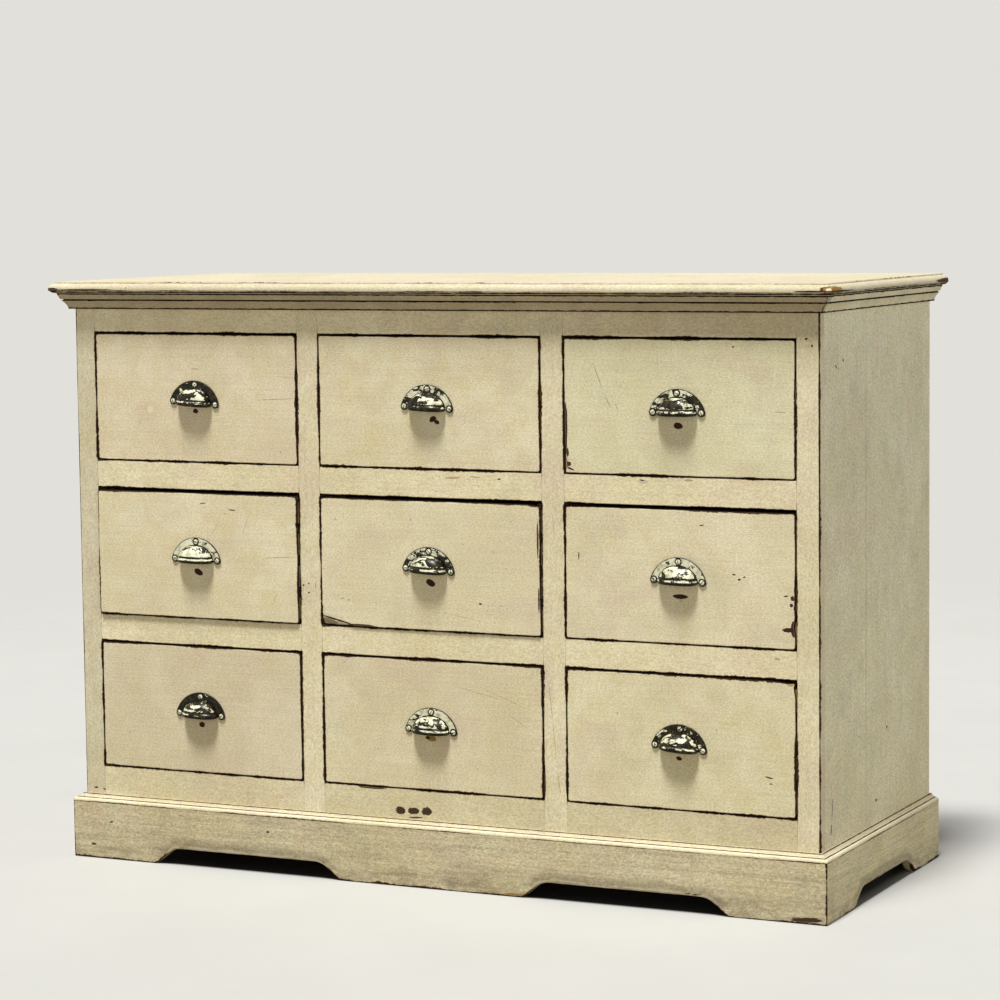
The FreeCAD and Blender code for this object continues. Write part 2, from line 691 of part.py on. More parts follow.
def pull_screw(name, x, y, z):
    """Slotted wood screw with a domed countersunk head, its axis along Y and its head to the front."""
    body = new_body(name)
    head = S["screw_head_radius"]
    rise = S["screw_head_rise"]
    sink = S["pull_flange_thickness"]
    shank = S["screw_radius"]
    dome = (head * head + rise * rise) / (rise * 2)
    sketch = sketch_on(body, "XY_Plane", f"{name}_half_section")
    draw(sketch, [(ZERO, S["screw_length"]), (shank, S["screw_length"] - shank * 2),
                  (shank, sink), (head, ZERO), (ZERO, -rise, dome, -1)])
    turned = body.newObject("PartDesign::Revolution", f"{name}_turned")
    turned.Profile = sketch
    turned.ReferenceAxis = (sketch, ["V_Axis"])
    turned.Angle = 360
    slot = sketch_on(body, "XZ_Plane", f"{name}_slot_outline", rise - S["screw_slot_depth"])
    half_slot = S["screw_slot_width"] / 2
    draw(slot, [(-head, -half_slot), (head, -half_slot), (head, half_slot), (-head, half_slot)])
    feature = body.newObject("PartDesign::Pocket", f"{name}_slot")
    feature.Profile = slot
    feature.Reversed = True
    bind(feature, "Length", S["screw_slot_depth"] + overrun)
    place_at(body, x, y, z)
    return body


def screw_hole(name, x, y, z):
    """What a screw takes out of the pull and the drawer front: its shank and its countersink."""
    shank = doc.addObject("Part::Cylinder", f"{name}_bore")
    bind(shank, "Radius", S["screw_radius"] + S["fit_clearance"] / 2)
    bind(shank, "Height", S["screw_length"] + S["fit_clearance"])
    sink = doc.addObject("Part::Cone", f"{name}_sink")
    bind(sink, "Radius1", S["screw_head_radius"] + S["fit_clearance"])
    bind(sink, "Radius2", S["screw_radius"])
    bind(sink, "Height", S["pull_flange_thickness"] + S["fit_clearance"])
    for item in (shank, sink):
        place_at(item, x, y, z)
        item.Placement.Rotation = FreeCAD.Rotation(V(1, 0, 0), -90)
    return fused(name, [shank, sink])


def ellipsoid(name, x, y, z, across, out, up, low_angle, sweep):
    """Ellipsoid or a part of one, its half widths along X, Y and Z, swept round from the left towards -Y."""
    item = doc.addObject("Part::Ellipsoid", name)
    bind(item, "Radius1", up)
    bind(item, "Radius2", across)
    bind(item, "Radius3", out)
    item.Angle1 = low_angle
    item.Angle3 = sweep
    place_at(item, x, y, z, turn=180)
    return item


def cup_pull(name, x, y, z, holes):
    """Cast cup pull: flange with two ears, half-dome cup open below, and a rolled lip."""
    half = S["pull_width"] / 2
    ear = S["pull_ear_radius"]
    crown_radius = (half * half + S["pull_rise"] * S["pull_rise"]) / (S["pull_rise"] * 2)
    rim = -S["cup_rim_below"]
    ear_inset = root(ear * ear - rim * rim)
    centre = half - ear
    flange = new_body(f"{name}_flange")
    sketch = sketch_on(flange, "XZ_Plane", f"{name}_flange_outline")
    draw(sketch, [(half, ZERO, ear, 1), (ZERO, S["pull_rise"], crown_radius, 1),
                  (-half, ZERO, crown_radius, 1), (-centre, -ear, ear, 1),
                  (-centre + ear_inset, rim, ear, 1), (centre - ear_inset, rim), (centre, -ear, ear, 1)])
    pad(flange, sketch, S["pull_flange_thickness"], f"{name}_flange_thickness")
    place_at(flange, x, y, z)
    across = S["cup_width"] / 2
    rim_level = z + rim
    lip_out = S["cup_lip_overhang"]
    dome = ellipsoid(f"{name}_dome", x, y, rim_level, across, S["cup_projection"], S["cup_rise"], 0, 180)
    lip = ellipsoid(f"{name}_lip", x, y, rim_level, across + lip_out, S["cup_projection"] + lip_out,
                    S["cup_lip_height"] / 2, -90, 180)
    hollow = ellipsoid(f"{name}_hollow", x, y, rim_level, across - S["cup_wall"],
                       S["cup_projection"] - S["cup_wall"], S["cup_rise"] - S["cup_wall"], -90, 360)
    casting = fused(f"{name}_casting", [flange, dome, lip])
    return cut(name, casting, fused(f"{name}_openings", [hollow] + holes))


def drawer(row, column):
    """All pieces of one drawer, at rest in its opening."""
    place = f"{ROWS[row]}_{COLUMNS[column]}"
    proud = S.get(f"proud_{place}", S["proud_drawer"])
    floor = opening_floor(row)
    left = opening_left(column) + S["front_side_gap"]
    width = opening_width(column) - S["front_side_gap"] * 2
    face = front_plane - proud
    front_height = opening_height - S["front_gap_below"] - S[f"gap_above_{ROWS[row]}_row"]
    side_floor = floor + S["running_gap"]
    side_height = opening_height - S["running_gap"] - S["drawer_side_drop"]
    side_front = face + S["dovetail_lap"]
    side_back = back_boards_front - S["stop_length"] - S["running_gap"] - proud
    side_depth = side_back - side_front
    thickness = S["drawer_side_thickness"]
    groove = S["bottom_groove_depth"]
    panel_front = face + S["front_thickness"] - groove
    panel_level = side_floor + S["bottom_groove_level"]
    bottom = block(f"drawer_bottom_{place}", left + thickness - groove, panel_front, panel_level,
                   width - (thickness - groove) * 2, side_back - panel_front, S["drawer_bottom_thickness"])
    sides = [drawer_side(f"drawer_side_{hand}_{place}", x, side_front, side_floor, side_depth, side_height,
                         bottom)
             for hand, x in (("left", left), ("right", left + width - thickness))]
    back_floor = panel_level + S["drawer_bottom_thickness"]
    back = block(f"drawer_back_{place}", left + thickness, side_back - S["drawer_back_thickness"], back_floor,
                 width - thickness * 2, S["drawer_back_thickness"], side_floor + side_height - back_floor)
    box = group(f"drawer_box_{place}", sides + [back, bottom])

    pull_x = opening_left(column) + opening_width(column) / 2
    pull_z = floor + opening_height / 2 - S["pull_below_middle"]
    head_plane = face - S["pull_flange_thickness"]
    screws = []
    holes = []
    for number, (dx, dz) in enumerate(screw_places(), start=1):
        screws.append(pull_screw(f"pull_screw_{number}_{place}", pull_x + dx, head_plane, pull_z + dz))
        holes.append(screw_hole(f"screw_hole_{number}_{place}", pull_x + dx, head_plane, pull_z + dz))
    blank = drawer_front_blank(f"drawer_front_{place}_blank", left, face, floor + S["front_gap_below"],
                               width, front_height)
    joints = fused(f"drawer_front_{place}_joints", sides + [bottom] + holes)
    front = cut(f"drawer_front_{place}", blank, joints)
    pull = cup_pull(f"cup_pull_{place}", pull_x, face, pull_z, holes)
    return [front, box, pull, group(f"pull_screws_{place}", screws)]


def build():
    """Every named piece of the bank of drawers."""
    floor_board = bottom_board()
    top_rails, middle_rails, bottom_rails = rails()
    all_rails = group("all_rails", [top_rails, middle_rails, bottom_rails])
    pieces = [top_board(), bed_moulding(), side_panel(-1, floor_board), side_panel(1, floor_board),
              partition(0), partition(1), *stiles(all_rails), top_rails, middle_rails, bottom_rails,
              floor_board, back_boards(), backing_rails(), *running_parts(), *plinth(), plinth_cap(),
              glue_blocks()]
    for row in range(3):
        for column in range(3):
            pieces += drawer(row, column)
    return pieces


def check(pieces):
    """Stop unless every object has been worked out and every piece is a valid solid shape."""
    for item in doc.Objects:
        if "Invalid" in item.State or "Error" in item.State:
            raise RuntimeError(f"{item.Label} failed: {item.State}")
    for item in pieces:
        if item.Shape.isNull() or not item.Shape.isValid() or not item.Shape.Solids:
            raise RuntimeError(f"{item.Label} has no valid solid")


def main():
    pieces = build()
    doc.recompute()
    check(pieces)
    os.makedirs("parts", exist_ok=True)
    for item in pieces:
        item.Shape.exportStep(os.path.join("parts", f"{item.Label}.step"))
    print(len(pieces), "pieces written")


main()
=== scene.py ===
"""Painted pine bank of nine drawers: shabby cream paint, worn arrises, cast cup pulls with flaking paint.

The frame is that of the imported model: X to the right, Y to the back, Z up, and the drawers face -Y. Sizes and
places are in millimetres and times MM where Blender takes metres.
"""

import math

import bpy
from mathutils import Matrix, Vector, noise


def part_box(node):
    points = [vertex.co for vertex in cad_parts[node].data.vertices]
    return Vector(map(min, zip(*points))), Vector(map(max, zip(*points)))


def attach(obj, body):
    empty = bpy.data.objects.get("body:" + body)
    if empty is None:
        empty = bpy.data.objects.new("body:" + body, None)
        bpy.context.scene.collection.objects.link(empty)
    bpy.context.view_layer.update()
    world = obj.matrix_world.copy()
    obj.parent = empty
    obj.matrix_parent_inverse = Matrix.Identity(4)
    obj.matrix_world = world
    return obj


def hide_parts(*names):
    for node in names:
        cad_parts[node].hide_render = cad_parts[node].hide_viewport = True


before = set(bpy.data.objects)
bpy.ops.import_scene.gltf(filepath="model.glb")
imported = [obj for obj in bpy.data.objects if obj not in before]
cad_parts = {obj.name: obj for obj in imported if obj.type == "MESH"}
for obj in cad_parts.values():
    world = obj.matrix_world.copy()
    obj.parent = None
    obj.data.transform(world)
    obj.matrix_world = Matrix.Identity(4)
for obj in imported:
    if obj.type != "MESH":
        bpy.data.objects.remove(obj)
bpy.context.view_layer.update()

MM = 0.001
ROWS = ["bottom", "middle", "top"]
COLUMNS = ["left", "centre", "right"]

# Sizes of the case in millimetres, as the model was built
CASE_WIDTH = 1250
CASE_DEPTH = 503
CASE_HEIGHT = 905
FRAME_THICKNESS = 20
OUTER_STILE = 35
INNER_STILE = 36.5
RAIL_HEIGHT = 42.5
BOTTOM_RAIL_HEIGHT = 72.5
TOP_RAIL_HEIGHT = 61.5
LOWEST_OPENING = 148
LOWEST_RAIL_FOOT = LOWEST_OPENING - BOTTOM_RAIL_HEIGHT
OPENING_HEIGHT = 203.5
BAY_WIDTHS = [365.5, 376, 365.5]
FLOOR_CLEARANCE = 32
BED_HEIGHT = 25
PLINTH_HEIGHT = 90
PLINTH_THICKNESS = 16
PULL_ABOVE_FLOOR = 94.5
BACK_BOARDS = 8

half_case = CASE_WIDTH / 2
back_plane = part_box("side_panel_right")[1].y / MM
front_plane = back_plane - CASE_DEPTH


# Places of the drawer openings

def opening_left(column):
    """Left edge of the openings in a column."""
    return OUTER_STILE - half_case + sum(BAY_WIDTHS[:column]) + INNER_STILE * column


def opening_floor(row):
    """Lower edge of the openings in a row."""
    return LOWEST_OPENING + (OPENING_HEIGHT + RAIL_HEIGHT) * row


OPENINGS = [(opening_left(column), opening_left(column) + BAY_WIDTHS[column],
             opening_floor(row), opening_floor(row) + OPENING_HEIGHT)
            for row in range(3) for column in range(3)]


def out_of_opening(x, z):
    """Distance in mm from a point of the front to the nearest edge of an opening."""
    nearest = CASE_WIDTH
    for left, right, low, high in OPENINGS:
        dx = max(left - x, x - right, 0)
        dz = max(low - z, z - high, 0)
        nearest = min(nearest, math.hypot(dx, dz))
    return nearest


# Helpers for modelling

MERGE_DISTANCE = 0.02
SAME_HEIGHT = 0.001


def wander(x, y, z, length):
    """Smooth random number from -1 to 1 that changes over a length in mm."""
    return noise.noise(Vector((x / length, y / length, z / length)))


def deselect():
    for item in bpy.context.selected_objects:
        item.select_set(False)


def named(name):
    """Give the object that was just added its name and return it."""
    piece = bpy.context.active_object
    piece.name = name
    piece.data.name = name
    return piece


def edit(select="SELECT"):
    """Go into edit mode with all vertices selected, or none with DESELECT."""
    bpy.ops.object.mode_set(mode="EDIT")
    bpy.ops.mesh.select_mode(type="VERT")
    bpy.ops.mesh.select_all(action=select)


def leave_edit():
    bpy.ops.object.mode_set(mode="OBJECT")


def finish(piece, body, nodes, material, smooth=30):
    """Close off a piece: normals outwards, smooth faces, its material, body and CAD nodes."""
    deselect()
    piece.select_set(True)
    bpy.context.view_layer.objects.active = piece
    edit()
    bpy.ops.mesh.normals_make_consistent(inside=False)
    leave_edit()
    bpy.ops.object.shade_smooth_by_angle(angle=math.radians(smooth))
    piece.data.materials.clear()
    piece.data.materials.append(material)
    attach(piece, body)
    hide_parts(*nodes)
    piece.select_set(False)
    return piece


def bevel(piece, width, segments, angle):
    """Round every arris sharper than an angle, and apply the modifier."""
    bpy.context.view_layer.objects.active = piece
    modifier = piece.modifiers.new("arris", "BEVEL")
    modifier.width = width * MM
    modifier.segments = segments
    modifier.limit_method = "ANGLE"
    modifier.angle_limit = math.radians(angle)
    bpy.ops.object.modifier_apply(modifier=modifier.name)


def join(name, pieces):
    """Make several pieces one object."""
    deselect()
    for piece in pieces:
        piece.select_set(True)
    bpy.context.view_layer.objects.active = pieces[0]
    bpy.ops.object.join()
    joined = named(name)
    joined.select_set(False)
    return joined


def mark_distance(piece, distance, name="edge_gap"):
    """Keep the distance in mm from each vertex to a worn arris or a groove, as an attribute in metres."""
    values = [distance(vertex.co / MM) * MM for vertex in piece.data.vertices]
    attribute = piece.data.attributes.new(name, "FLOAT", "POINT")
    attribute.data.foreach_set("value", values)


def grid(name, columns, rows, place):
    """Grid whose vertices are put by their column and row number: place(column, row) in mm."""
    deselect()
    bpy.ops.mesh.primitive_grid_add(x_subdivisions=columns - 1, y_subdivisions=rows - 1, size=1)
    piece = named(name)
    for vertex in piece.data.vertices:
        column = round((vertex.co.x + 0.5) * (columns - 1))
        row = round((vertex.co.y + 0.5) * (rows - 1))
        vertex.co = Vector(place(column, row)) * MM
    return piece


def fill_back(piece, settle):
    """Pull the rim of a face back into a board and close it: settle(point in mm) gives each rim point."""
    edit("DESELECT")
    bpy.ops.mesh.select_non_manifold()
    bpy.ops.mesh.extrude_edges_move()
    leave_edit()
    for vertex in piece.data.vertices:
        if vertex.select:
            vertex.co = Vector(settle(vertex.co / MM)) * MM
    bpy.ops.object.mode_set(mode="EDIT")
    bpy.ops.mesh.edge_face_add()
    leave_edit()


def stations(length, near, step):
    """Places along a length: the near places at both ends and an even step between them."""
    inner = length - near[-1] * 2
    count = max(1, round(inner / step))
    middle = [near[-1] + inner * index / count for index in range(1, count)]
    return list(near) + middle + [length - place for place in reversed(near)]


def rounded_in(distance, radius):
    """How far a rounded arris lies behind the face at a distance from the edge."""
    if distance >= radius:
        return 0
    rest = 1 - distance / radius
    return radius * (1 - math.sqrt(max(1 - rest * rest, 0)))


# Boards

# Distances from an arris at which a board has rows of vertices, and the steps between them elsewhere
NEAR_ARRIS = [0, 0.25, 0.7, 1.4, 2.4, 4, 7]
FRAME_STEP = 9
FRONT_STEP = 6

# Rounding of the arrises, its unevenness, and the waver of the outline
FRAME_WEAR = (0.9, 0.35, 0.12)
FRONT_WEAR = (1.2, 0.6, 0.5)
FRONT_CORNER = 4
WAVER_LENGTH = 23
WEAR_LENGTH = 31
EDGE_REACH = 14
SWELL = 0.15
SWELL_LENGTH = 90

# How near an opening or an end of the case a fitted board is fully worn, and the share of the wear elsewhere
OPENING_WEAR_REACH = 6
END_WEAR_REACH = 8
FITTED_WEAR = 0.35

# A distance from an end of the case counts for more than one from an opening, so more paint is left there
END_DISTANCE_SHARE = 2.4
DEPTH_SHARE = 0.3


def rounded_corner(x, z, width, height, radius):
    """Point of a board moved inwards where it lies in one of the rounded corners."""
    inward_x = min(x, width - x)
    inward_z = min(z, height - z)
    if inward_x >= radius or inward_z >= radius:
        return x, z
    to_x = radius - inward_x
    to_z = radius - inward_z
    scale = max(to_x, to_z) / math.hypot(to_x, to_z)
    hand_x = 1 if x < width / 2 else -1
    hand_z = 1 if z < height / 2 else -1
    return x + to_x * (1 - scale) * hand_x, z + to_z * (1 - scale) * hand_z


def worn_board(name, left, right, low, high, face, thickness, step, wear, seed, corner=0, bites=(), breaks=(),
               fitted=False):
    """Upright board seen from the front, its arrises rounded and worn unevenly.

    A bite (edge, centre, half length, depth) moves the outline in, and a break (edge, centre, half length,
    height, depth) splits a sloping chip off the face. Edges are 0 left, 1 right, 2 lower and 3 upper. A
    fitted board is worn less away from the openings.
    """
    across = stations(right - left, NEAR_ARRIS, step)
    upward = stations(high - low, NEAR_ARRIS, step)
    width = across[-1]
    height = upward[-1]
    rounding, uneven, waver = wear
    gaps = []

    def edge_shift(edge, along, distance):
        shift = waver * (0.5 + 0.5 * wander(along, seed, 40 * edge, WAVER_LENGTH))
        reach = EDGE_REACH
        for which, centre, half, depth in bites:
            if which == edge and abs(along - centre) < half:
                shift += depth * (1 - abs(along - centre) / half)
                reach = max(reach, depth * 3)
        return shift * max(0, 1 - distance / reach)

    def pushed(edge, along, distance):
        radius = rounding + uneven * wander(along, seed + 9, 40 * edge, WEAR_LENGTH)
        depth = rounded_in(distance, max(radius, 0.2))
        for which, centre, half, tall, deep in breaks:
            rise = tall * (1 - abs(along - centre) / half) if which == edge else 0
            if distance < rise:
                depth = max(depth, deep * (1 - distance / rise) ** 0.7)
        return depth

    def place(column, row):
        x = across[column]
        z = upward[row]
        sides = [(0, z, x), (1, z, width - x), (2, x, z), (3, x, height - z)]
        gaps.append(min(distance for edge, along, distance in sides) * MM)
        off_opening = out_of_opening(left + x, low + z) > OPENING_WEAR_REACH
        off_end = abs(left + x) < half_case - END_WEAR_REACH
        shifts = [edge_shift(edge, along, distance) for edge, along, distance in sides]
        push = math.hypot(*[pushed(edge, along, distance) for edge, along, distance in sides])
        push *= FITTED_WEAR if fitted and off_opening and off_end else 1
        x, z = rounded_corner(x, z, width, height, corner)
        swell = SWELL * (1 + wander(left + x, face, low + z, SWELL_LENGTH))
        return (left + x + shifts[0] - shifts[1], face + min(push, thickness * 0.6) + swell,
                low + z + shifts[2] - shifts[3])

    piece = grid(name, len(across), len(upward), place)
    fill_back(piece, lambda point: (point.x, face + thickness, point.z))
    attribute = piece.data.attributes.new("edge_gap", "FLOAT", "POINT")
    rim = len(piece.data.vertices) - len(gaps)
    attribute.data.foreach_set("value", gaps + [thickness * MM] * rim)
    return piece


def frame_board(name, left, right, low, high, seed):
    """Board of the face frame, fitted tight to its neighbours and worn where it meets an opening."""
    piece = worn_board(name, left, right, low, high, front_plane, FRAME_THICKNESS, FRAME_STEP, FRAME_WEAR,
                       seed, fitted=True)
    piece.data.attributes.remove(piece.data.attributes["edge_gap"])

    def gap(point):
        depth = max(point.y - front_plane, 0)
        from_end = max(half_case - abs(point.x) - 1, 0) * END_DISTANCE_SHARE + depth * DEPTH_SHARE
        return min(out_of_opening(point.x, point.z) + depth, from_end)

    mark_distance(piece, gap)
    return piece


# Mouldings and the top

MOULDING_STEP = 11
MOULDING_WAVER = 0.22
TOP_WAVER = 0.3
TOP_SWELL = 0.25
RUN_WAVER_LENGTH = 47
TOP_SWELL_LENGTH = 60
TOP_SIDE_COUNT = 44
TOP_FRONT_COUNT = 100
BORDERS = (3, 7)


def arc(centre_out, centre_up, radius, first, last, count):
    """Points of an arc, its angles in degrees, as (outward, upward)."""
    points = []
    for index in range(count + 1):
        angle = math.radians(first + (last - first) * index / count)
        points.append((centre_out + radius * math.cos(angle), centre_up + radius * math.sin(angle)))
    return points


def top_edge():
    """Moulded edge of the top from its upper arris down, its worn arrises and its grooves."""
    overhang = 30.5
    thickness = 18
    ovolo = 9
    quirk = thickness - 2.5
    nose_low = 4
    foot = overhang - 9
    outline = [(overhang - ovolo - 0.8, thickness), (overhang - ovolo, thickness - 0.8),
               (overhang - ovolo + 0.3, quirk + 0.5)]
    outline += arc(overhang - ovolo, quirk - ovolo, ovolo, 86, 4, 8)
    outline += [(overhang, nose_low + 0.7), (overhang - 0.7, nose_low), (overhang - 1.5, nose_low)]
    outline += [(overhang - 2.6, nose_low - 1.6), (overhang - 5, nose_low - 3), (foot, 0)]
    arrises = [(overhang - ovolo, thickness), (overhang, nose_low + 0.5)]
    grooves = [(overhang - ovolo + 0.3, quirk + 0.4), (overhang - 3.4, nose_low - 2)]
    return outline, arrises, grooves


def bed_edge():
    """Section of the moulding under the top, closed at the case, its worn arrises and its grooves."""
    outline = [(0, 0), (8, 0), (8, 3.4), (8.8, 4), (9.2, 5.6), (10.8, 8.2), (13, 11), (15.4, 12.8),
               (15.8, 13.5), (13.6, 13.9), (13.6, 15.3), (17, 15.7), (17.8, 17.4), (19.2, 20.6), (20.6, 23),
               (21, 25), (0, 25)]
    arrises = [(20.8, 24), (15.8, 13.4)]
    grooves = [(13.6, 14.6), (21, 25), (8, 0)]
    return outline, arrises, grooves


def cap_edge():
    """Section of the plinth cap, closed at the case, its worn arrises and its grooves."""
    outline = [(0, 0), (15.4, 0), (16, 0.6), (16, 2.2), (15.5, 4), (14.2, 5.6), (12.4, 6.3), (10.8, 5.9),
               (10.4, 6.8), (9, 7.4), (7, 8.6), (5.4, 10.2), (4.4, 11.6), (4, 12), (0, 12)]
    arrises = [(15.8, 0.4)]
    grooves = [(10.8, 6.2), (4.2, 12)]
    return outline, arrises, grooves


def run_place(side, outward, share, waver):
    """Point in mm along the front, left or right run of a moulding that is mitred at the front corners."""
    if side == "front":
        x = (half_case + outward) * (share * 2 - 1)
        wave = waver * wander(x, 3, outward * 2, RUN_WAVER_LENGTH)
        return (x, front_plane - outward - wave)
    start = front_plane - outward
    y = start + (back_plane - start) * share
    hand = 1 if side == "right" else -1
    wave = waver * wander(hand * 11, y, outward * 2, RUN_WAVER_LENGTH)
    return ((half_case + outward + wave) * hand, y)


def outward_of(point):
    """How far in mm a point lies outside the front or an end of the case."""
    return max(abs(point.x) - half_case, front_plane - point.y)


def near_line(point, level, lines):
    """Distance in mm from a point of a moulding to the nearest of its arrises or grooves."""
    outward = outward_of(point)
    return min(math.hypot(outward - out, point.z - level - up) for out, up in lines)


def moulding(name, side, edge, level):
    """One length of moulding round the case, its section closed and its ends filled."""
    outline, arrises, grooves = edge
    count = round((CASE_WIDTH if side == "front" else CASE_DEPTH) / MOULDING_STEP)

    def place(column, row):
        outward, upward = outline[row % len(outline)]
        waver = MOULDING_WAVER if outward > 0 else 0
        x, y = run_place(side, outward, column / count, waver)
        return (x, y, level + upward)

    piece = grid(name, count + 1, len(outline) + 1, place)
    edit()
    bpy.ops.mesh.remove_doubles(threshold=MERGE_DISTANCE * MM)
    bpy.ops.mesh.select_all(action="SELECT")
    bpy.ops.mesh.fill_holes(sides=0)
    leave_edit()
    bevel(piece, 0.3, 2, 50)
    mark_distance(piece, lambda point: near_line(point, level, arrises))
    mark_distance(piece, lambda point: near_line(point, level, grooves), "groove_gap")
    return piece


def moulding_set(name, edge, level, node, material):
    """Front, left and right lengths of one moulding as one piece."""
    lengths = [moulding(f"{name}_{side}", side, edge, level) for side in ("front", "left", "right")]
    return finish(join(name, lengths), "carcass", [node], material)


def close_level(piece, height):
    """Fill the open edge of the top at a height with a face, and frame the face with two narrow borders."""
    edit("DESELECT")
    leave_edit()
    for edge_line in piece.data.edges:
        ends = [piece.data.vertices[index] for index in edge_line.vertices]
        edge_line.select = all(abs(end.co.z / MM - height) < SAME_HEIGHT for end in ends)
        for end in ends:
            end.select = end.select or edge_line.select
    bpy.ops.object.mode_set(mode="EDIT")
    bpy.ops.mesh.edge_face_add()
    for border in BORDERS:
        bpy.ops.mesh.inset(thickness=border * MM, use_boundary=True)
    leave_edit()


def top_board(material):
    """Top with its moulded edge swept round the front and both ends in one skin."""
    outline, arrises, grooves = top_edge()
    path = [("left", 1 - index / TOP_SIDE_COUNT) for index in range(TOP_SIDE_COUNT)]
    path += [("front", index / TOP_FRONT_COUNT) for index in range(TOP_FRONT_COUNT)]
    path += [("right", index / TOP_SIDE_COUNT) for index in range(TOP_SIDE_COUNT + 1)]

    def place(column, row):
        outward, upward = outline[row]
        side, share = path[column]
        x, y = run_place(side, outward, share, TOP_WAVER)
        swell = TOP_SWELL * wander(x, y, upward, TOP_SWELL_LENGTH) if 0 < row < len(outline) - 1 else 0
        return (x, y, CASE_HEIGHT + upward + swell)

    piece = grid("painted_top", len(path), len(outline), place)
    for level in (outline[0][1], 0):
        close_level(piece, CASE_HEIGHT + level)
    edit("DESELECT")
    bpy.ops.mesh.select_non_manifold()
    bpy.ops.mesh.edge_face_add()
    leave_edit()
    mark_distance(piece, lambda point: near_line(point, CASE_HEIGHT, arrises))
    mark_distance(piece, lambda point: near_line(point, CASE_HEIGHT, grooves[:1]) + 0.5, "quirk_gap")
    mark_distance(piece, lambda point: near_line(point, CASE_HEIGHT, grooves[1:]), "groove_gap")
    return finish(piece, "carcass", ["top_board"], material)


# The plinth

GAP_HEIGHT = 26
GAP_TOE_RUN = 6
GAP_TOE_RISE = 3
GAP_SHOULDER_FOOT = 17
GAP_RAMP_END = 23.5
GAP_SHOULDER_RUN = 24
GAP_SHOULDER_RISE = 9
FRONT_GAPS = [(-490, -153.5), (153.5, 490)]
SIDE_GAPS = [(-131.25, 151.75)]

# Places of the vertices of a plinth board: near its ends, along it, and up it in shares of its height
PLINTH_NEAR_END = [0, 0.3, 0.8, 1.5, 3]
PLINTH_STEP = 4
PLINTH_ROWS = [0, 0.01, 0.03, 0.07, 0.14, 0.28, 0.46, 0.64, 0.82, 1]

# Wear of a plinth board: size in mm, and the length over which it changes
NICKS = (0.6, 37)
WORN_FOOT = (1.5, 90)
FOOT_KEPT = 0.6
LIP_ROUNDING = 1.5
LIP_UNEVEN = (0.9, 28)
MITRE_ROUNDING = 1.8
MITRE_UNEVEN = (0.7, 25)
PLINTH_SWELL = (0.2, 70)


def uneven(amount, x, y, z):
    """Unevenness in mm at a place, from its size and length."""
    size, length = amount
    return size * wander(x, y, z, length)


def lower_edge(along, gaps):
    """Height in mm of the shaped lower edge of a plinth board at a place along it."""
    height = 0
    for start, end in gaps:
        inside = min(along - start, end - along)
        if inside <= 0:
            continue
        if inside < GAP_TOE_RUN:
            height = GAP_TOE_RISE * (inside / GAP_TOE_RUN) ** 1.5
        elif inside < GAP_RAMP_END:
            share = (inside - GAP_TOE_RUN) / (GAP_RAMP_END - GAP_TOE_RUN)
            height = GAP_TOE_RISE + (GAP_SHOULDER_FOOT - GAP_TOE_RISE) * share
        elif inside < GAP_RAMP_END + GAP_SHOULDER_RUN:
            radius = (GAP_SHOULDER_RUN ** 2 + GAP_SHOULDER_RISE ** 2) / (GAP_SHOULDER_RISE * 2)
            run = GAP_RAMP_END + GAP_SHOULDER_RUN - inside
            height = GAP_HEIGHT - radius + math.sqrt(radius ** 2 - run ** 2)
        else:
            height = GAP_HEIGHT
    return height


def plinth_board(name, side, gaps, seed):
    """Shaped plinth board with worn lower edge, mitred where it meets its neighbour."""
    front = side == "front"
    outer = half_case + PLINTH_THICKNESS
    start = -outer if front else front_plane - PLINTH_THICKNESS
    end = outer if front else back_plane
    places = stations(end - start, PLINTH_NEAR_END, PLINTH_STEP)
    hand = -1 if side == "left" else 1

    def laid(along, behind, up):
        if front:
            return (along, front_plane - PLINTH_THICKNESS + behind, up)
        return ((outer - behind) * hand, along, up)

    def place(column, row):
        along = start + places[column]
        nicks = max(0, uneven(NICKS, along, seed, 0))
        worn_foot = max(0, uneven(WORN_FOOT, along, seed + 5, 2) - FOOT_KEPT)
        low = lower_edge(along, gaps) + nicks + worn_foot
        up = low + (PLINTH_HEIGHT - low) * PLINTH_ROWS[row]
        push = rounded_in(up - low, LIP_ROUNDING + uneven(LIP_UNEVEN, along, seed, 7))
        to_mitre = [along - start, end - along] if front else [along - start]
        nearest = min(to_mitre)
        rounding = MITRE_ROUNDING + uneven(MITRE_UNEVEN, seed, 3, up)
        if nearest < rounding:
            turn = math.radians(45) * (1 - nearest / rounding)
            push = max(push, rounding * (1 - math.cos(turn)))
            inset = rounding - rounding * math.sin(turn)
            along = start + inset if to_mitre.index(nearest) == 0 else end - inset
        push += PLINTH_SWELL[0] + uneven(PLINTH_SWELL, along, up, seed)
        return laid(along, push, up)

    def along_of(point):
        return point.x if front else point.y

    def settle(point):
        inner_start = start + PLINTH_THICKNESS
        inner_end = end - PLINTH_THICKNESS if front else end
        return laid(min(max(along_of(point), inner_start), inner_end), PLINTH_THICKNESS, point.z)

    piece = grid(name, len(places), len(PLINTH_ROWS), place)
    fill_back(piece, settle)
    edit()
    bpy.ops.mesh.remove_doubles(threshold=0.01 * MM)
    leave_edit()

    def lip(point):
        return max(point.z - lower_edge(along_of(point), gaps), 0)

    def gap(point):
        along = along_of(point)
        behind = point.y - front_plane + PLINTH_THICKNESS if front else outer - abs(point.x)
        to_mitre = min(along - start, end - along) if front else along - start
        return min(lip(point), to_mitre) + max(behind - 2, 0)

    mark_distance(piece, gap)
    mark_distance(piece, lip, "lip_gap")
    return piece


# Cup pulls and screws, modelled once and copied. Heights are above the line of the two ears.

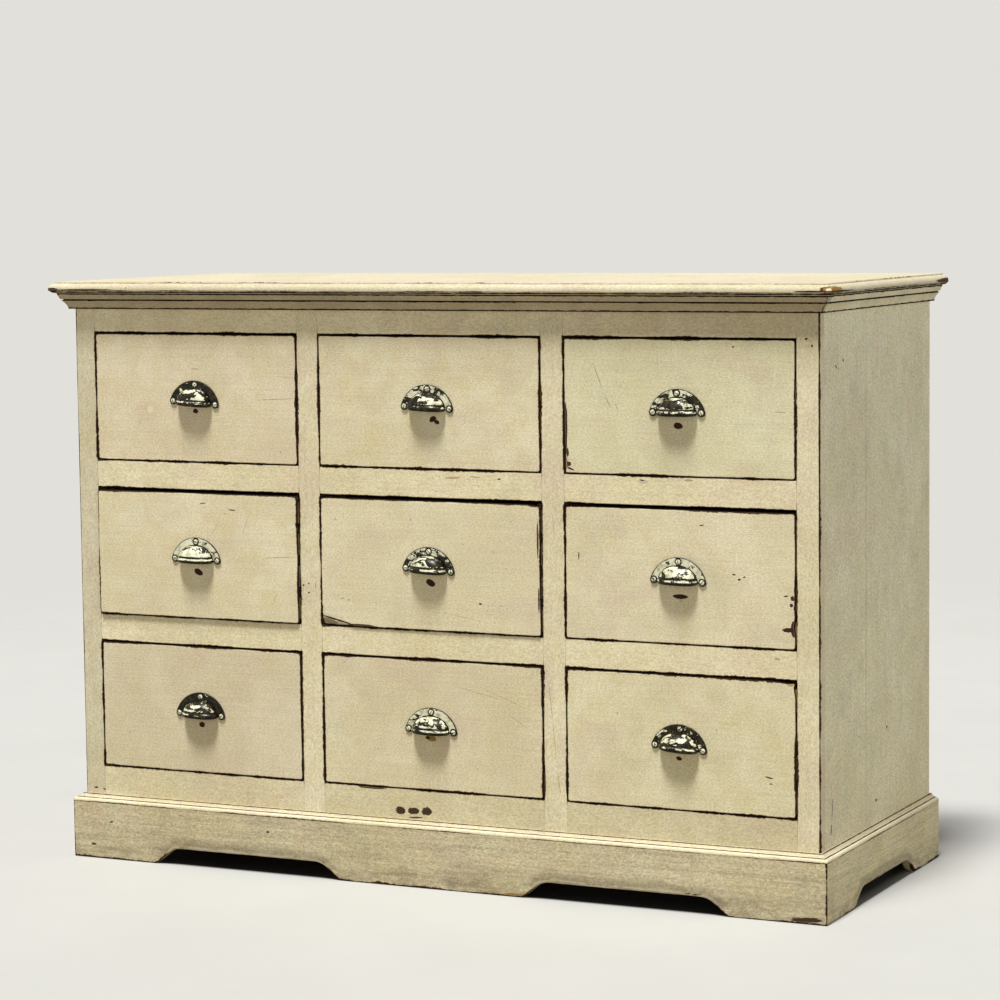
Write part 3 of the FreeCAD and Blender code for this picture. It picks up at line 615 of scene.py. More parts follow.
PULL_HALF_WIDTH = 44.25
PULL_RISE = 34.5
PULL_EAR = 6.2
PULL_RIM = -1.5
FLANGE = 2.6
CUP_HALF_WIDTH = 29.5
CUP_RISE = 23
CUP_PROJECTION = 21
CUP_WALL = 2.1
CUP_ROUNDNESS = 0.75
CUP_SIDES = 40
SCREW_SIDES = 20
SCREW_PLACES = [(-38.05, 0), (38.05, 0), (0, 28)]
SCREW_TURNS = [25, -50, 80]
TURN_BY_PULL = 37
HEAD_RADIUS = 4
SLOT_LENGTH = 10
SLOT_WIDTH = 0.8
SLOT_CUT = 1.3
SLOT_MIDDLE = -1.6
crown_radius = (PULL_HALF_WIDTH ** 2 + PULL_RISE ** 2) / (PULL_RISE * 2)
crown_centre = PULL_RISE - crown_radius


def flange_outline():
    """Outline of the flange: crown, two ears and the straight edge between them."""
    ear_x = PULL_HALF_WIDTH - PULL_EAR
    low = math.degrees(math.asin(-crown_centre / crown_radius))
    inner = math.degrees(math.asin(-PULL_RIM / PULL_EAR))
    outline = arc(0, crown_centre, crown_radius, low, 180 - low, 40)
    outline += arc(-ear_x, 0, PULL_EAR, 188, 360 - inner, 9)
    outline += arc(ear_x, 0, PULL_EAR, 180 + inner, 352, 9)
    return outline


def cup_section():
    """Section of the cup as shares of its half width, and heights: rolled lip, groove, then the full dome."""
    section = [(0.88, -5), (0.95, -5.25), (1, -4.4), (1.035, -3), (1.055, -1.4), (1.05, 0.4), (1.02, 1.9),
               (0.985, 2.7), (0.955, 3.6), (0.945, 4.4)]
    for step in range(12):
        turn = math.radians(17.5 + 72.5 * step / 11)
        section.append((max(math.cos(turn), 0) ** 0.8, PULL_RIM + CUP_RISE * math.sin(turn)))
    return section


def bare_pull():
    """Flange and cup of a pull round the middle of its ears, its back at y 0."""
    outline = flange_outline()
    deselect()
    bpy.ops.mesh.primitive_circle_add(vertices=len(outline), radius=1, fill_type="NGON")
    plate = named("flange")
    for vertex, (x, z) in zip(plate.data.vertices, outline):
        vertex.co = Vector((x, 0, z)) * MM
    edit()
    bpy.ops.mesh.extrude_region_move(TRANSFORM_OT_translate={"value": (0, -FLANGE * MM, 0)})
    bpy.ops.mesh.inset(thickness=1.1 * MM, depth=0)
    leave_edit()
    bevel(plate, 0.7, 3, 40)

    section = cup_section()

    def place(column, row):
        share, up = section[row]
        turn = math.radians(180 * column / CUP_SIDES)
        across = math.copysign(abs(math.cos(turn)) ** CUP_ROUNDNESS, math.cos(turn))
        out = CUP_PROJECTION * share * math.sin(turn) ** CUP_ROUNDNESS
        return (CUP_HALF_WIDTH * share * across, -max(out, 0.6), up)

    cup = grid("cup", CUP_SIDES + 1, len(section), place)
    edit()
    bpy.ops.mesh.remove_doubles(threshold=MERGE_DISTANCE * MM)
    bpy.ops.mesh.normals_make_consistent(inside=False)
    leave_edit()
    wall = cup.modifiers.new("wall", "SOLIDIFY")
    wall.thickness = CUP_WALL * MM
    wall.offset = -1
    bpy.ops.object.modifier_apply(modifier=wall.name)
    smoother = cup.modifiers.new("cast", "SUBSURF")
    smoother.levels = 1
    smoother.render_levels = 1
    bpy.ops.object.modifier_apply(modifier=smoother.name)
    pull = join("bare_pull", [plate, cup])
    mark_distance(pull, lambda point: 0 if on_cup(point) else 1 / MM, "on_flange")
    own_place = pull.data.attributes.new("own_place", "FLOAT_VECTOR", "POINT")
    for vertex, item in zip(pull.data.vertices, own_place.data):
        item.vector = vertex.co / MM
    return pull


def bare_screw():
    """Slotted screw with its axis along y, its head's underside edge at y 0."""
    section = [(0, 16), (0.6, 15), (1.8, 12.5), (1.8, 2.6), (HEAD_RADIUS, 0), (3.9, -0.5), (3, -1.05),
               (1.6, -1.4), (0, -1.5)]

    def place(column, row):
        radius, y = section[row]
        turn = math.radians(360 * column / SCREW_SIDES)
        return (radius * math.cos(turn), y, radius * math.sin(turn))

    screw = grid("bare_screw", SCREW_SIDES + 1, len(section), place)
    mark_distance(screw, lambda point: max(HEAD_RADIUS - math.hypot(point.x, point.z), 0))
    edit()
    bpy.ops.mesh.remove_doubles(threshold=MERGE_DISTANCE * MM)
    bpy.ops.mesh.normals_make_consistent(inside=False)
    leave_edit()
    deselect()
    bpy.ops.mesh.primitive_cube_add(size=1)
    slot = named("slot_cutter")
    for vertex in slot.data.vertices:
        x, y, z = vertex.co
        vertex.co = Vector((x * SLOT_LENGTH, y * SLOT_CUT + SLOT_MIDDLE, z * SLOT_WIDTH)) * MM
    cut = screw.modifiers.new("slot", "BOOLEAN")
    cut.operation = "DIFFERENCE"
    cut.object = slot
    bpy.context.view_layer.objects.active = screw
    bpy.ops.object.modifier_apply(modifier=cut.name)
    bpy.data.objects.remove(slot)
    return screw


def placed_copy(master, name, turn, x, y, z):
    """Copy of a master piece with its own mesh, turned about y in degrees and moved in mm."""
    mesh = master.data.copy()
    mesh.transform(Matrix.Translation(Vector((x, y, z)) * MM) @ Matrix.Rotation(math.radians(turn), 4, "Y"))
    piece = bpy.data.objects.new(name, mesh)
    bpy.context.scene.collection.objects.link(piece)
    return piece


def on_cup(point):
    """Whether a point of the pull, in mm, belongs to the cup and not to the flange."""
    ring = math.hypot(point.x / CUP_HALF_WIDTH, (point.z - PULL_RIM) / CUP_RISE)
    return -point.y > FLANGE + 0.15 or ring < 0.98


def pull_and_screws(master_pull, master_screw, row, column, iron, steel):
    """Cup pull and its three screws on one drawer."""
    place = f"{ROWS[row]}_{COLUMNS[column]}"
    body = f"drawer_{place}"
    x = opening_left(column) + BAY_WIDTHS[column] / 2
    z = opening_floor(row) + PULL_ABOVE_FLOOR
    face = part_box(f"drawer_front_{place}")[0].y / MM
    on_flange, on_dome, turn = PULL_STATES[place]
    pull = placed_copy(master_pull, f"cast_pull_{place}", turn, x, face, z)
    kept = pull.data.attributes.new("paint_left", "FLOAT", "POINT")
    flange = pull.data.attributes["on_flange"].data
    kept.data.foreach_set("value", [on_flange if item.value > 0.5 else on_dome for item in flange])
    finish(pull, body, [f"cup_pull_{place}"], iron, 50)
    slant = math.radians(turn)
    screws = []
    for index, (dx, dz) in enumerate(SCREW_PLACES):
        screw_x = x + dx * math.cos(slant) + dz * math.sin(slant)
        screw_z = z - dx * math.sin(slant) + dz * math.cos(slant)
        screw_turn = SCREW_TURNS[index] + TURN_BY_PULL * (row * 3 + column)
        screws.append(placed_copy(master_screw, f"screw_{place}_{index}", screw_turn, screw_x, face - FLANGE,
                                  screw_z))
    finish(join(f"slotted_screws_{place}", screws), body, [f"pull_screws_{place}"], steel, 40)


# Colours, written as they look on screen from 0 to 255

def tone(red, green, blue):
    """Colour for a shader socket from its look on screen."""
    channels = []
    for value in (red / 255, green / 255, blue / 255):
        channels.append(value / 12.92 if value <= 0.04045 else ((value + 0.055) / 1.055) ** 2.4)
    return (*channels, 1)


CREAM = tone(222, 209, 171)
CREAM_LIGHT = tone(231, 219, 184)
CREAM_YELLOW = tone(216, 198, 150)
CREAM_PINK = tone(217, 195, 168)
CREAM_GREY = tone(196, 188, 158)
CREAM_SHADE = tone(150, 136, 110)
WORN_BROWN = tone(54, 33, 16)
WORN_RIM = tone(168, 139, 98)
LIP_PALE = tone(208, 194, 164)
DIRT = tone(92, 80, 60)
# Near-black: painted shade in gaps and grooves, and the colour of dark marks and of the joints between back
# boards
CREVICE = tone(34, 22, 12)
QUIRK_BROWN = tone(112, 96, 58)
GAP_BROWN = tone(88, 66, 42)
RAW_BROWN = tone(92, 60, 30)
RED_BROWN = tone(56, 20, 14)
PINE_CHIP = tone(150, 112, 58)
PINE_PALE = tone(205, 172, 122)
PINE_DARK = tone(165, 122, 72)
PINE_AGED = tone(128, 96, 60)
IRON = tone(26, 24, 16)
IRON_BROWN = tone(78, 66, 40)
PULL_PAINT = tone(229, 225, 194)
PULL_PAINT_GREY = tone(158, 154, 118)
FLOOR_PALE = tone(190, 187, 180)
FLOOR_BOUNCE = tone(132, 126, 106)
BACKDROP = tone(226, 224, 218)

PLAIN = (1, 1, 1, 1)
PAINT_SHEEN = 0.25

# Scale of the brush strokes or the grain on each axis, small along the board and large across it
ACROSS_GRAIN = (8, 240, 240)
UPRIGHT_GRAIN = (240, 240, 8)
DEPTH_GRAIN = (240, 8, 240)

# Axes that a board faces along
FRONT_FACE = (0, 1, 0)
END_FACE = (1, 0, 0)
UPWARD = (0, 0, 1)


class Nodes:
    """Short calls for the nodes of one material or node group."""

    def __init__(self, tree):
        self.tree = tree
        self.nodes = tree.nodes

    def put(self, socket, value):
        """Link a socket to another, or give it a plain value."""
        if isinstance(value, bpy.types.NodeSocket):
            self.tree.links.new(value, socket)
        elif value is not None:
            socket.default_value = value

    def node(self, kind, *values, **settings):
        made = self.nodes.new(kind)
        for name, value in settings.items():
            setattr(made, name, value)
        for socket, value in zip(made.inputs, values):
            self.put(socket, value)
        return made

    def maths(self, operation, first, second=None, clamp=False):
        return self.node("ShaderNodeMath", first, second, operation=operation, use_clamp=clamp).outputs[0]

    def plus(self, first, second):
        return self.maths("ADD", first, second)

    def minus(self, first, second, clamp=False):
        return self.maths("SUBTRACT", first, second, clamp)

    def times(self, first, second):
        return self.maths("MULTIPLY", first, second)

    def divided(self, first, second):
        return self.maths("DIVIDE", first, second)

    def most(self, first, second):
        return self.maths("MAXIMUM", first, second)

    def least(self, first, second):
        return self.maths("MINIMUM", first, second)

    def size(self, value):
        """The value without its sign."""
        return self.maths("ABSOLUTE", value)

    def vector(self, operation, first, second=None):
        made = self.node("ShaderNodeVectorMath", first, second, operation=operation)
        return made.outputs["Value" if operation in ("LENGTH", "DOT_PRODUCT") else "Vector"]

    def stretched(self, place, scale):
        return self.vector("MULTIPLY", place, scale)

    def moved(self, place, offset):
        return self.vector("ADD", place, offset)

    def mix(self, amount, low, high, blend="MIX"):
        made = self.nodes.new("ShaderNodeMix")
        made.data_type = "RGBA"
        made.blend_type = blend
        self.put(made.inputs[0], amount)
        self.put(made.inputs[6], low)
        self.put(made.inputs[7], high)
        return made.outputs[2]

    def tinted(self, colour, tint, amount=1.0):
        """The colour multiplied by a tint."""
        return self.mix(amount, colour, tint, "MULTIPLY")

    def grey(self, value):
        return self.node("ShaderNodeCombineColor", value, value, value).outputs[0]

    def remap(self, value, low, high, to_low=0.0, to_high=1.0, smooth=False):
        """The value moved from one range to another and held inside it."""
        made = self.nodes.new("ShaderNodeMapRange")
        made.interpolation_type = "SMOOTHSTEP" if smooth else "LINEAR"
        made.clamp = True
        for name, item in (("Value", value), ("From Min", low), ("From Max", high), ("To Min", to_low),
                           ("To Max", to_high)):
            self.put(made.inputs[name], item)
        return made.outputs["Result"]

    def between(self, mask, low, high):
        """The low value where the mask is 0 and the high one where it is 1."""
        return self.remap(mask, 0.0, 1.0, low, high)

    def noise(self, place, scale, detail=2.0, roughness=0.5, distortion=0.0):
        made = self.nodes.new("ShaderNodeTexNoise")
        for name, item in (("Vector", place), ("Scale", scale), ("Detail", detail), ("Roughness", roughness),
                           ("Distortion", distortion)):
            self.put(made.inputs[name], item)
        return made.outputs["Fac"]

    def parts(self, place):
        made = self.node("ShaderNodeSeparateXYZ", place)
        return made.outputs[0], made.outputs[1], made.outputs[2]

    def part(self, place, axis):
        """The X, Y or Z of a place."""
        return self.node("ShaderNodeSeparateXYZ", place).outputs[axis]

    def place(self):
        return self.nodes.new("ShaderNodeTexCoord").outputs["Object"]

    def attribute(self, name, output="Fac"):
        made = self.nodes.new("ShaderNodeAttribute")
        made.attribute_name = name
        return made.outputs[output]

    def group(self, tree, **values):
        made = self.nodes.new("ShaderNodeGroup")
        made.node_tree = tree
        for name, value in values.items():
            self.put(made.inputs[name], value)
        return made.outputs


def new_group(name, inputs, outputs):
    """Empty shader group with named sockets; returns its helper, its inputs and its output node."""
    tree = bpy.data.node_groups.new(name, "ShaderNodeTree")
    kinds = {"value": "NodeSocketFloat", "colour": "NodeSocketColor", "vector": "NodeSocketVector"}
    for socket, kind, start in inputs:
        made = tree.interface.new_socket(socket, in_out="INPUT", socket_type=kinds[kind])
        made.default_value = start
    for socket, kind in outputs:
        tree.interface.new_socket(socket, in_out="OUTPUT", socket_type=kinds[kind])
    helper = Nodes(tree)
    source = helper.nodes.new("NodeGroupInput").outputs
    sink = helper.nodes.new("NodeGroupOutput").inputs
    return helper, source, sink


# Effects that several finishes share. A noise call gives scale, detail, roughness and distortion, and a remap
# call the two values between which an effect comes in.

def paint_group():
    """Old brushed paint: blotches, yellowing, pinkish patches, brush strokes and fine grain."""
    n, given, out = new_group(
        "old_paint",
        [("Place", "vector", (0, 0, 0)), ("Grain", "vector", (8, 300, 300)), ("Yellowed", "value", 0.5),
         ("Grubby", "value", 0.3), ("Streaks", "value", 0.035), ("Speckle", "value", 0.22)],
        [("Color", "colour"), ("Height", "value"), ("Roughness", "value")])
    place = given["Place"]
    clouds = n.noise(place, 7, 3, 0.55, 0.4)
    patches = n.noise(place, 26, 4, 0.6, 0.5)
    grubby = n.noise(n.moved(place, (3.1, 1.7, 0.4)), 15, 5, 0.65, 0.3)
    brushed = n.stretched(place, given["Grain"])
    stroke = n.noise(brushed, 1, 3, 0.6)
    fine = n.noise(n.moved(n.stretched(place, (270, 270, 310)), brushed), 1, 3, 0.75)
    colour = n.mix(n.remap(clouds, 0.38, 0.62), CREAM, CREAM_LIGHT)
    yellow = n.times(n.remap(patches, 0.42, 0.68), given["Yellowed"])
    colour = n.mix(yellow, colour, CREAM_YELLOW)
    pink = n.times(n.remap(n.noise(place, 12, 3, 0.5, 0.8), 0.5, 0.72), 0.55)
    colour = n.mix(pink, colour, CREAM_PINK)
    grey = n.times(n.remap(grubby, 0.48, 0.74), given["Grubby"])
    colour = n.mix(grey, colour, CREAM_GREY)
    streaks = n.times(n.remap(stroke, 0.3, 0.7, -1.0, 1.0), given["Streaks"])
    speckle = n.times(n.remap(fine, 0.3, 0.7, -1.0, 1.0), given["Speckle"])
    shade = n.plus(n.plus(streaks, speckle), 0.985)
    n.put(out["Color"], n.tinted(colour, n.grey(shade)))
    height = n.plus(n.times(stroke, 0.8), n.times(fine, 0.25))
    n.put(out["Height"], n.plus(height, n.times(patches, 0.5)))
    n.put(out["Roughness"], n.remap(patches, 0.3, 0.7, 0.5, 0.66))
    return n.tree


def worn_group():
    """Paint rubbed off along arrises: how bare, and the thin pale rim of the paint round it."""
    n, given, out = new_group(
        "worn_arris",
        [("Place", "vector", (0, 0, 0)), ("Gap", "value", 0.01), ("Width", "value", 0.0015),
         ("Patchy", "value", 0.6)],
        [("Bare", "value"), ("Rim", "value")])
    place = given["Place"]
    zones = n.remap(n.noise(place, 13, 2, 0.5), 0.36, 0.64, n.minus(1.0, given["Patchy"]), 1.5)
    ragged = n.remap(n.noise(place, 150, 4, 0.65), 0.25, 0.75, 0.25, 1.6)
    reach = n.times(n.times(given["Width"], zones), ragged)
    left = n.minus(reach, given["Gap"])
    bare = n.remap(left, -0.00012, 0.00022, smooth=True)
    wide = n.remap(n.plus(left, 0.0009), -0.0002, 0.0005, smooth=True)
    n.put(out["Bare"], bare)
    n.put(out["Rim"], n.minus(wide, bare, clamp=True))
    return n.tree


def mark_group():
    """One ragged oval mark at a place: turned about an axis, 1 inside and 0 outside."""
    n, given, out = new_group(
        "mark",
        [("Place", "vector", (0, 0, 0)), ("Centre", "vector", (0, 0, 0)),
         ("Half", "vector", (0.01, 0.05, 0.01)), ("Axis", "vector", (0, 1, 0)), ("Turn", "value", 0.0),
         ("Ragged", "value", 0.5)],
        [("Mask", "value")])
    turned = n.node("ShaderNodeVectorRotate", given["Place"], given["Centre"], given["Axis"], given["Turn"],
                    rotation_type="AXIS_ANGLE")
    offset = n.vector("SUBTRACT", turned.outputs[0], given["Centre"])
    scaled = n.vector("DIVIDE", offset, given["Half"])
    own_noise_place = n.moved(scaled, n.stretched(given["Centre"], (90, 90, 90)))
    rough = n.noise(own_noise_place, 1.6, 3, 0.6)
    reach = n.plus(n.vector("LENGTH", scaled), n.times(n.minus(rough, 0.5), given["Ragged"]))
    n.put(out["Mask"], n.remap(reach, 1.0, 0.82, smooth=True))
    return n.tree


def pine_group():
    """Bare pine: streaks along the grain, growth bands and small knots."""
    n, given, out = new_group(
        "bare_pine",
        [("Place", "vector", (0, 0, 0)), ("Grain", "vector", (4, 60, 60)), ("Aged", "value", 0.3)],
        [("Color", "colour"), ("Height", "value")])
    along = n.stretched(given["Place"], given["Grain"])
    bands = n.noise(along, 1, 3, 0.55, 0.6)
    streaks = n.noise(n.stretched(along, (2.2, 6, 6)), 1, 4, 0.7)
    knots = n.noise(n.stretched(along, (2.6, 0.34, 0.34)), 1, 1, 0.4)
    colour = n.mix(n.remap(bands, 0.35, 0.65), PINE_PALE, PINE_DARK)
    colour = n.mix(n.times(n.remap(streaks, 0.5, 0.8), 0.45), colour, PINE_AGED)
    colour = n.mix(n.remap(knots, 0.79, 0.85, smooth=True), colour, DIRT)
    grime = n.remap(n.noise(given["Place"], 5, 4, 0.6), 0.3, 0.7, 0.4, 1.0)
    colour = n.mix(n.times(grime, given["Aged"]), colour, PINE_AGED)
    n.put(out["Color"], colour)
    n.put(out["Height"], n.plus(bands, n.times(streaks, 0.6)))
    return n.tree


OLD_PAINT = paint_group()
WORN_ARRIS = worn_group()
MARK = mark_group()
BARE_PINE = pine_group()

MARK_TONES = {
    "hole": RED_BROWN, "chip": PINE_CHIP, "dark": CREVICE, "smudge": WORN_BROWN,
    "pale": CREAM_LIGHT, "grey": CREAM_GREY, "rim": WORN_RIM, "shade": CREAM_SHADE,
}
PITTED_MARKS = ("hole", "chip", "dark", "smudge")
MARK_DEPTH = 60


# Materials

def new_material(name):
    """Material with an empty tree, its helper and its shader."""
    material = bpy.data.materials.new(name)
    material.use_nodes = True
    material.node_tree.nodes.clear()
    n = Nodes(material.node_tree)
    shader = n.nodes.new("ShaderNodeBsdfPrincipled")
    sink = n.nodes.new("ShaderNodeOutputMaterial")
    n.put(sink.inputs["Surface"], shader.outputs[0])
    return material, n, shader


def add_bump(n, shader, height, strength, distance):
    """Bump from a height, its distance in mm."""
    bump = n.nodes.new("ShaderNodeBump")
    bump.inputs["Strength"].default_value = strength
    bump.inputs["Distance"].default_value = distance * MM
    n.put(bump.inputs["Height"], height)
    n.put(shader.inputs["Normal"], bump.outputs[0])


class Coat:
    """Old cream paint on one kind of piece, built up in steps.

    Where a step takes a where, that is one of the mask functions below.
    """

    def __init__(self, name, grain, yellowed, grubby, tint=PLAIN, streaks=0.035, speckle=0.26):
        self.material, self.n, self.shader = new_material(name)
        self.grain = grain
        self.place = self.n.place()
        paint = self.n.group(OLD_PAINT, Place=self.place, Grain=grain, Yellowed=yellowed, Grubby=grubby,
                             Streaks=streaks, Speckle=speckle)
        self.colour = self.n.tinted(paint["Color"], tint)
        self.roughness = paint["Roughness"]
        self.height = paint["Height"]

    def cover(self, mask, colour):
        self.colour = self.n.mix(mask, self.colour, colour)

    def roughen(self, mask):
        self.roughness = self.n.most(self.roughness, mask)

    def sink(self, mask, depth):
        """Lower the surface where the mask is 1."""
        self.height = self.n.minus(self.height, self.n.times(mask, depth))

    def tint(self, where, tint):
        self.colour = self.n.tinted(self.colour, tint, where(self.n, self.place))

    def splash_foot(self, strength):
        """Dirt splashed up from the floor."""
        n = self.n
        stain = n.noise(n.stretched(self.place, (1, 1, 2.5)), 22, 5, 0.7, 0.4)
        low = n.times(ramp(n, self.place, "Z", 50, 0), n.remap(stain, 0.42, 0.7))
        self.cover(n.times(low, strength), DIRT)

    def fleck(self):
        """Small dark flecks all over."""
        n = self.n
        flecks = n.remap(n.noise(self.place, 190, 1, 0.4), 0.77, 0.8, smooth=True)
        self.cover(n.times(flecks, 0.55), DIRT)

    def mark(self, marks, face=FRONT_FACE):
        """Lay marks on the face that looks along an axis; the deep ones are rough and sunk."""
        n = self.n
        pits = None
        for kind, centre, half, turn, ragged, strength in marks:
            size = (half[0], MARK_DEPTH, half[1]) if face == FRONT_FACE else (MARK_DEPTH, half[0], half[1])
            mask = n.group(MARK, Place=self.place, Centre=Vector(centre) * MM, Half=Vector(size) * MM,
                           Axis=face, Turn=math.radians(turn), Ragged=ragged)["Mask"]
            self.cover(n.times(mask, strength), MARK_TONES[kind])
            if kind in PITTED_MARKS:
                pits = mask if pits is None else n.most(pits, mask)
        if pits is not None:
            self.roughen(pits)
            self.sink(pits, 1.5)

    def wear(self, width, patchy):
        """Rub the paint off along the arrises, to a width in mm."""
        n = self.n
        worn = n.group(WORN_ARRIS, Place=self.place, Gap=n.attribute("edge_gap"), Width=width * MM,
                       Patchy=patchy)
        self.cover(n.times(worn["Rim"], 0.4), WORN_RIM)
        wood = n.mix(n.remap(n.noise(self.place, 55, 3), 0.55, 0.8), WORN_BROWN, RAW_BROWN)
        self.cover(worn["Bare"], wood)
        self.roughen(worn["Bare"])
        self.sink(worn["Bare"], 1.2)

    def rub_lip(self, where):
        """Dirt, and in it a paler rubbed band, along the shaped lower edge of a plinth board."""
        n = self.n
        over = where(n, self.place)
        uneven = n.remap(n.noise(self.place, 30, 5, 0.65), 0.3, 0.7, -4 * MM, 4 * MM)
        rubbed = n.plus(n.attribute("lip_gap"), uneven)
        dusty = n.times(n.remap(rubbed, 22 * MM, 8 * MM, smooth=True), 0.4)
        self.cover(n.times(dusty, over), DIRT)
        patchy = n.remap(n.noise(self.place, 30, 3, 0.6), 0.35, 0.6, 0.4, 0.9)
        band = n.times(n.remap(rubbed, 6.2 * MM, 3.4 * MM, smooth=True), patchy)
        self.cover(n.times(band, over), LIP_PALE)

    def line(self, attribute, colour, width, strength):
        """Dark line along the grooves that an attribute gives, to a wavering width in mm."""
        n = self.n
        waver = n.remap(n.noise(n.moved(self.place, (5, 2, 1)), 70, 5, 0.65), 0.3, 0.7, 0.55, 1.3)
        reach = n.times(waver, width * MM)
        line = n.remap(n.minus(reach, n.attribute(attribute)), -0.4 * MM, 0.4 * MM, smooth=True)
        line = n.times(line, strength)
        self.cover(line, colour)
        self.roughen(line)

    def shade_and_dirt_in_gaps(self, where):
        """Painted shade on the faces inside the gaps, blackest at the front, going over into dirty brown deeper
        in.
        """
        n = self.n
        walls = where(n, self.place)
        deep = ramp(n, self.place, "Y", front_plane + 1, front_plane + 8)
        self.cover(n.times(walls, 0.98), n.mix(deep, CREVICE, GAP_BROWN))
        self.roughen(walls)

    def leave_bare(self, where):
        """Bare pine on the faces that were never painted."""
        n = self.n
        bare = where(n, self.place)
        grain = tuple(value / 4 for value in self.grain)
        pine = n.group(BARE_PINE, Place=self.place, Grain=grain, Aged=0.35)
        self.cover(bare, pine["Color"])
        self.roughen(n.times(bare, 0.8))

    def done(self):
        """Put the coat on its shader and return the material."""
        self.n.put(self.shader.inputs["Base Color"], self.colour)
        self.n.put(self.shader.inputs["Roughness"], self.roughness)
        self.shader.inputs["Specular IOR Level"].default_value = PAINT_SHEEN
        add_bump(self.n, self.shader, self.height, 0.5, 0.5)
        return self.material


# Masks for a coat of paint

def ramp(n, place, axis, start, end, low=0.0, high=1.0):
    """Low before the start on an axis and high past the end, both places in mm."""
    return n.remap(n.part(place, axis), start * MM, end * MM, low, high)


def from_middle(n, place):
    """Distance to the middle of the case, left or right."""
    return n.size(n.part(place, "X"))


def normal_share(n, axis):
    """Dot product of the surface normal with an axis."""
    normal = n.nodes.new("ShaderNodeNewGeometry").outputs["Normal"]
    return n.vector("DOT_PRODUCT", normal, axis)


def gap_faces(n, place):
    """Faces inside the gaps round a drawer, which get painted shade and dirt."""
    return n.remap(n.size(normal_share(n, FRONT_FACE)), 0.72, 0.3, smooth=True)


def frame_gap_faces(n, place):
    """The same on the face frame, without the outer faces of the outer stiles."""
    inner = n.remap(from_middle(n, place), (half_case - 1) * MM, (half_case - 2) * MM)
    return n.times(gap_faces(n, place), inner)


def back_faces(n, place):
    """Unpainted back of a board of the front."""
    return n.remap(normal_share(n, FRONT_FACE), 0.4, 0.7)


def over_gaps(n, place):
    """The lower edge of a plinth board where it stands off the floor."""
    return ramp(n, place, "Z", 14, 20)


def low_on_panel(n, place):
    """The lower part of a side panel, lightened as painted light from the floor."""
    return ramp(n, place, "Z", 700, 100)


def front_run(n, place):
    """The run of a moulding along the front, darkened as painted shade under the nose of the top."""
    return ramp(n, place, "Y", front_plane - 1, front_plane - 4)


def left_stile(n, place):
    """The left outer stile below the moulding's shadow, greyer than the others."""
    return n.times(ramp(n, place, "X", -500, -550), ramp(n, place, "Z", 850, 780))


def mitre_line(n, place):
    """The open mitres of a moulding at the front corners."""
    outward_x = n.minus(from_middle(n, place), half_case * MM)
    outward_y = n.minus(front_plane * MM, n.part(place, "Y"))
    off = n.size(n.minus(outward_x, outward_y))
    opened = n.remap(n.noise(place, 160, 3), 0.35, 0.6, 0.4 * MM, 1.6 * MM)
    return n.remap(n.minus(off, opened), 0.5 * MM, 0.0, smooth=True)


def cove_of_cap(n, place):
    """The hollow upper part of the plinth cap, darkened as painted shade."""
    return ramp(n, place, "Z", PLINTH_HEIGHT + 6.2, PLINTH_HEIGHT + 7)


def top_right_of_front(n, place):
    """The top rail and stile on the right, darkened, more so further right."""
    return n.times(ramp(n, place, "Z", 840, 850), ramp(n, place, "X", -100, 500))


def lowest_rail(n, place):
    """The rail above the plinth, darkened, most of all on the right."""
    low = ramp(n, place, "Z", LOWEST_OPENING + 10, LOWEST_OPENING)
    return n.times(low, ramp(n, place, "X", -600, 450, 0.35, 1.0))


def inside_of_panel(n, place):
    """Everything of a side panel but its outer face."""
    return n.remap(from_middle(n, place), (half_case - 0.3) * MM, (half_case - 0.6) * MM)


def behind_plinth(n, place):
    """Unpainted inner faces of the plinth boards."""
    beyond_end = n.minus(from_middle(n, place), half_case * MM)
    beyond_front = n.minus(front_plane * MM, n.part(place, "Y"))
    return n.remap(n.most(beyond_end, beyond_front), 3 * MM, 1 * MM)


# Paint of each kind of piece

def front_paint(place, number):
    """Paint of a drawer front, each front a little different."""
    yellowed = 0.3 + 0.12 * (number % 4)
    grubby = 0.2 + 0.1 * (number % 3)
    coat = Coat(f"front_paint_{place}", ACROSS_GRAIN, yellowed, grubby, FRONT_TINTS.get(place, PLAIN))
    coat.fleck()
    coat.mark(FRONT_MARKS[place])
    coat.wear(1.4, 0.85)
    # Painted shade and dirt on the faces inside the gaps
    coat.shade_and_dirt_in_gaps(gap_faces)
    coat.leave_bare(back_faces)
    return coat.done()


def stile_paint():
    coat = Coat("stile_paint", UPRIGHT_GRAIN, 0.45, 0.25)
    coat.tint(left_stile, (0.87, 0.88, 0.9, 1))
    coat.tint(top_right_of_front, (0.82, 0.8, 0.8, 1))
    coat.fleck()
    coat.mark(STILE_MARKS)
    coat.wear(1.5, 0.75)
    # Painted shade and dirt on the faces inside the gaps
    coat.shade_and_dirt_in_gaps(frame_gap_faces)
    coat.leave_bare(back_faces)
    return coat.done()


def rail_paint():
    # The rails are tinted a little lighter as painted light
    coat = Coat("rail_paint", ACROSS_GRAIN, 0.45, 0.3, (1.04, 1.04, 1.02, 1))
    coat.tint(lowest_rail, (0.83, 0.82, 0.8, 1))
    coat.tint(top_right_of_front, (0.82, 0.8, 0.8, 1))
    coat.fleck()
    coat.mark(RAIL_MARKS)
    coat.wear(1.4, 0.85)
    # Painted shade and dirt on the faces inside the gaps
    coat.shade_and_dirt_in_gaps(frame_gap_faces)
    coat.leave_bare(back_faces)
    return coat.done()


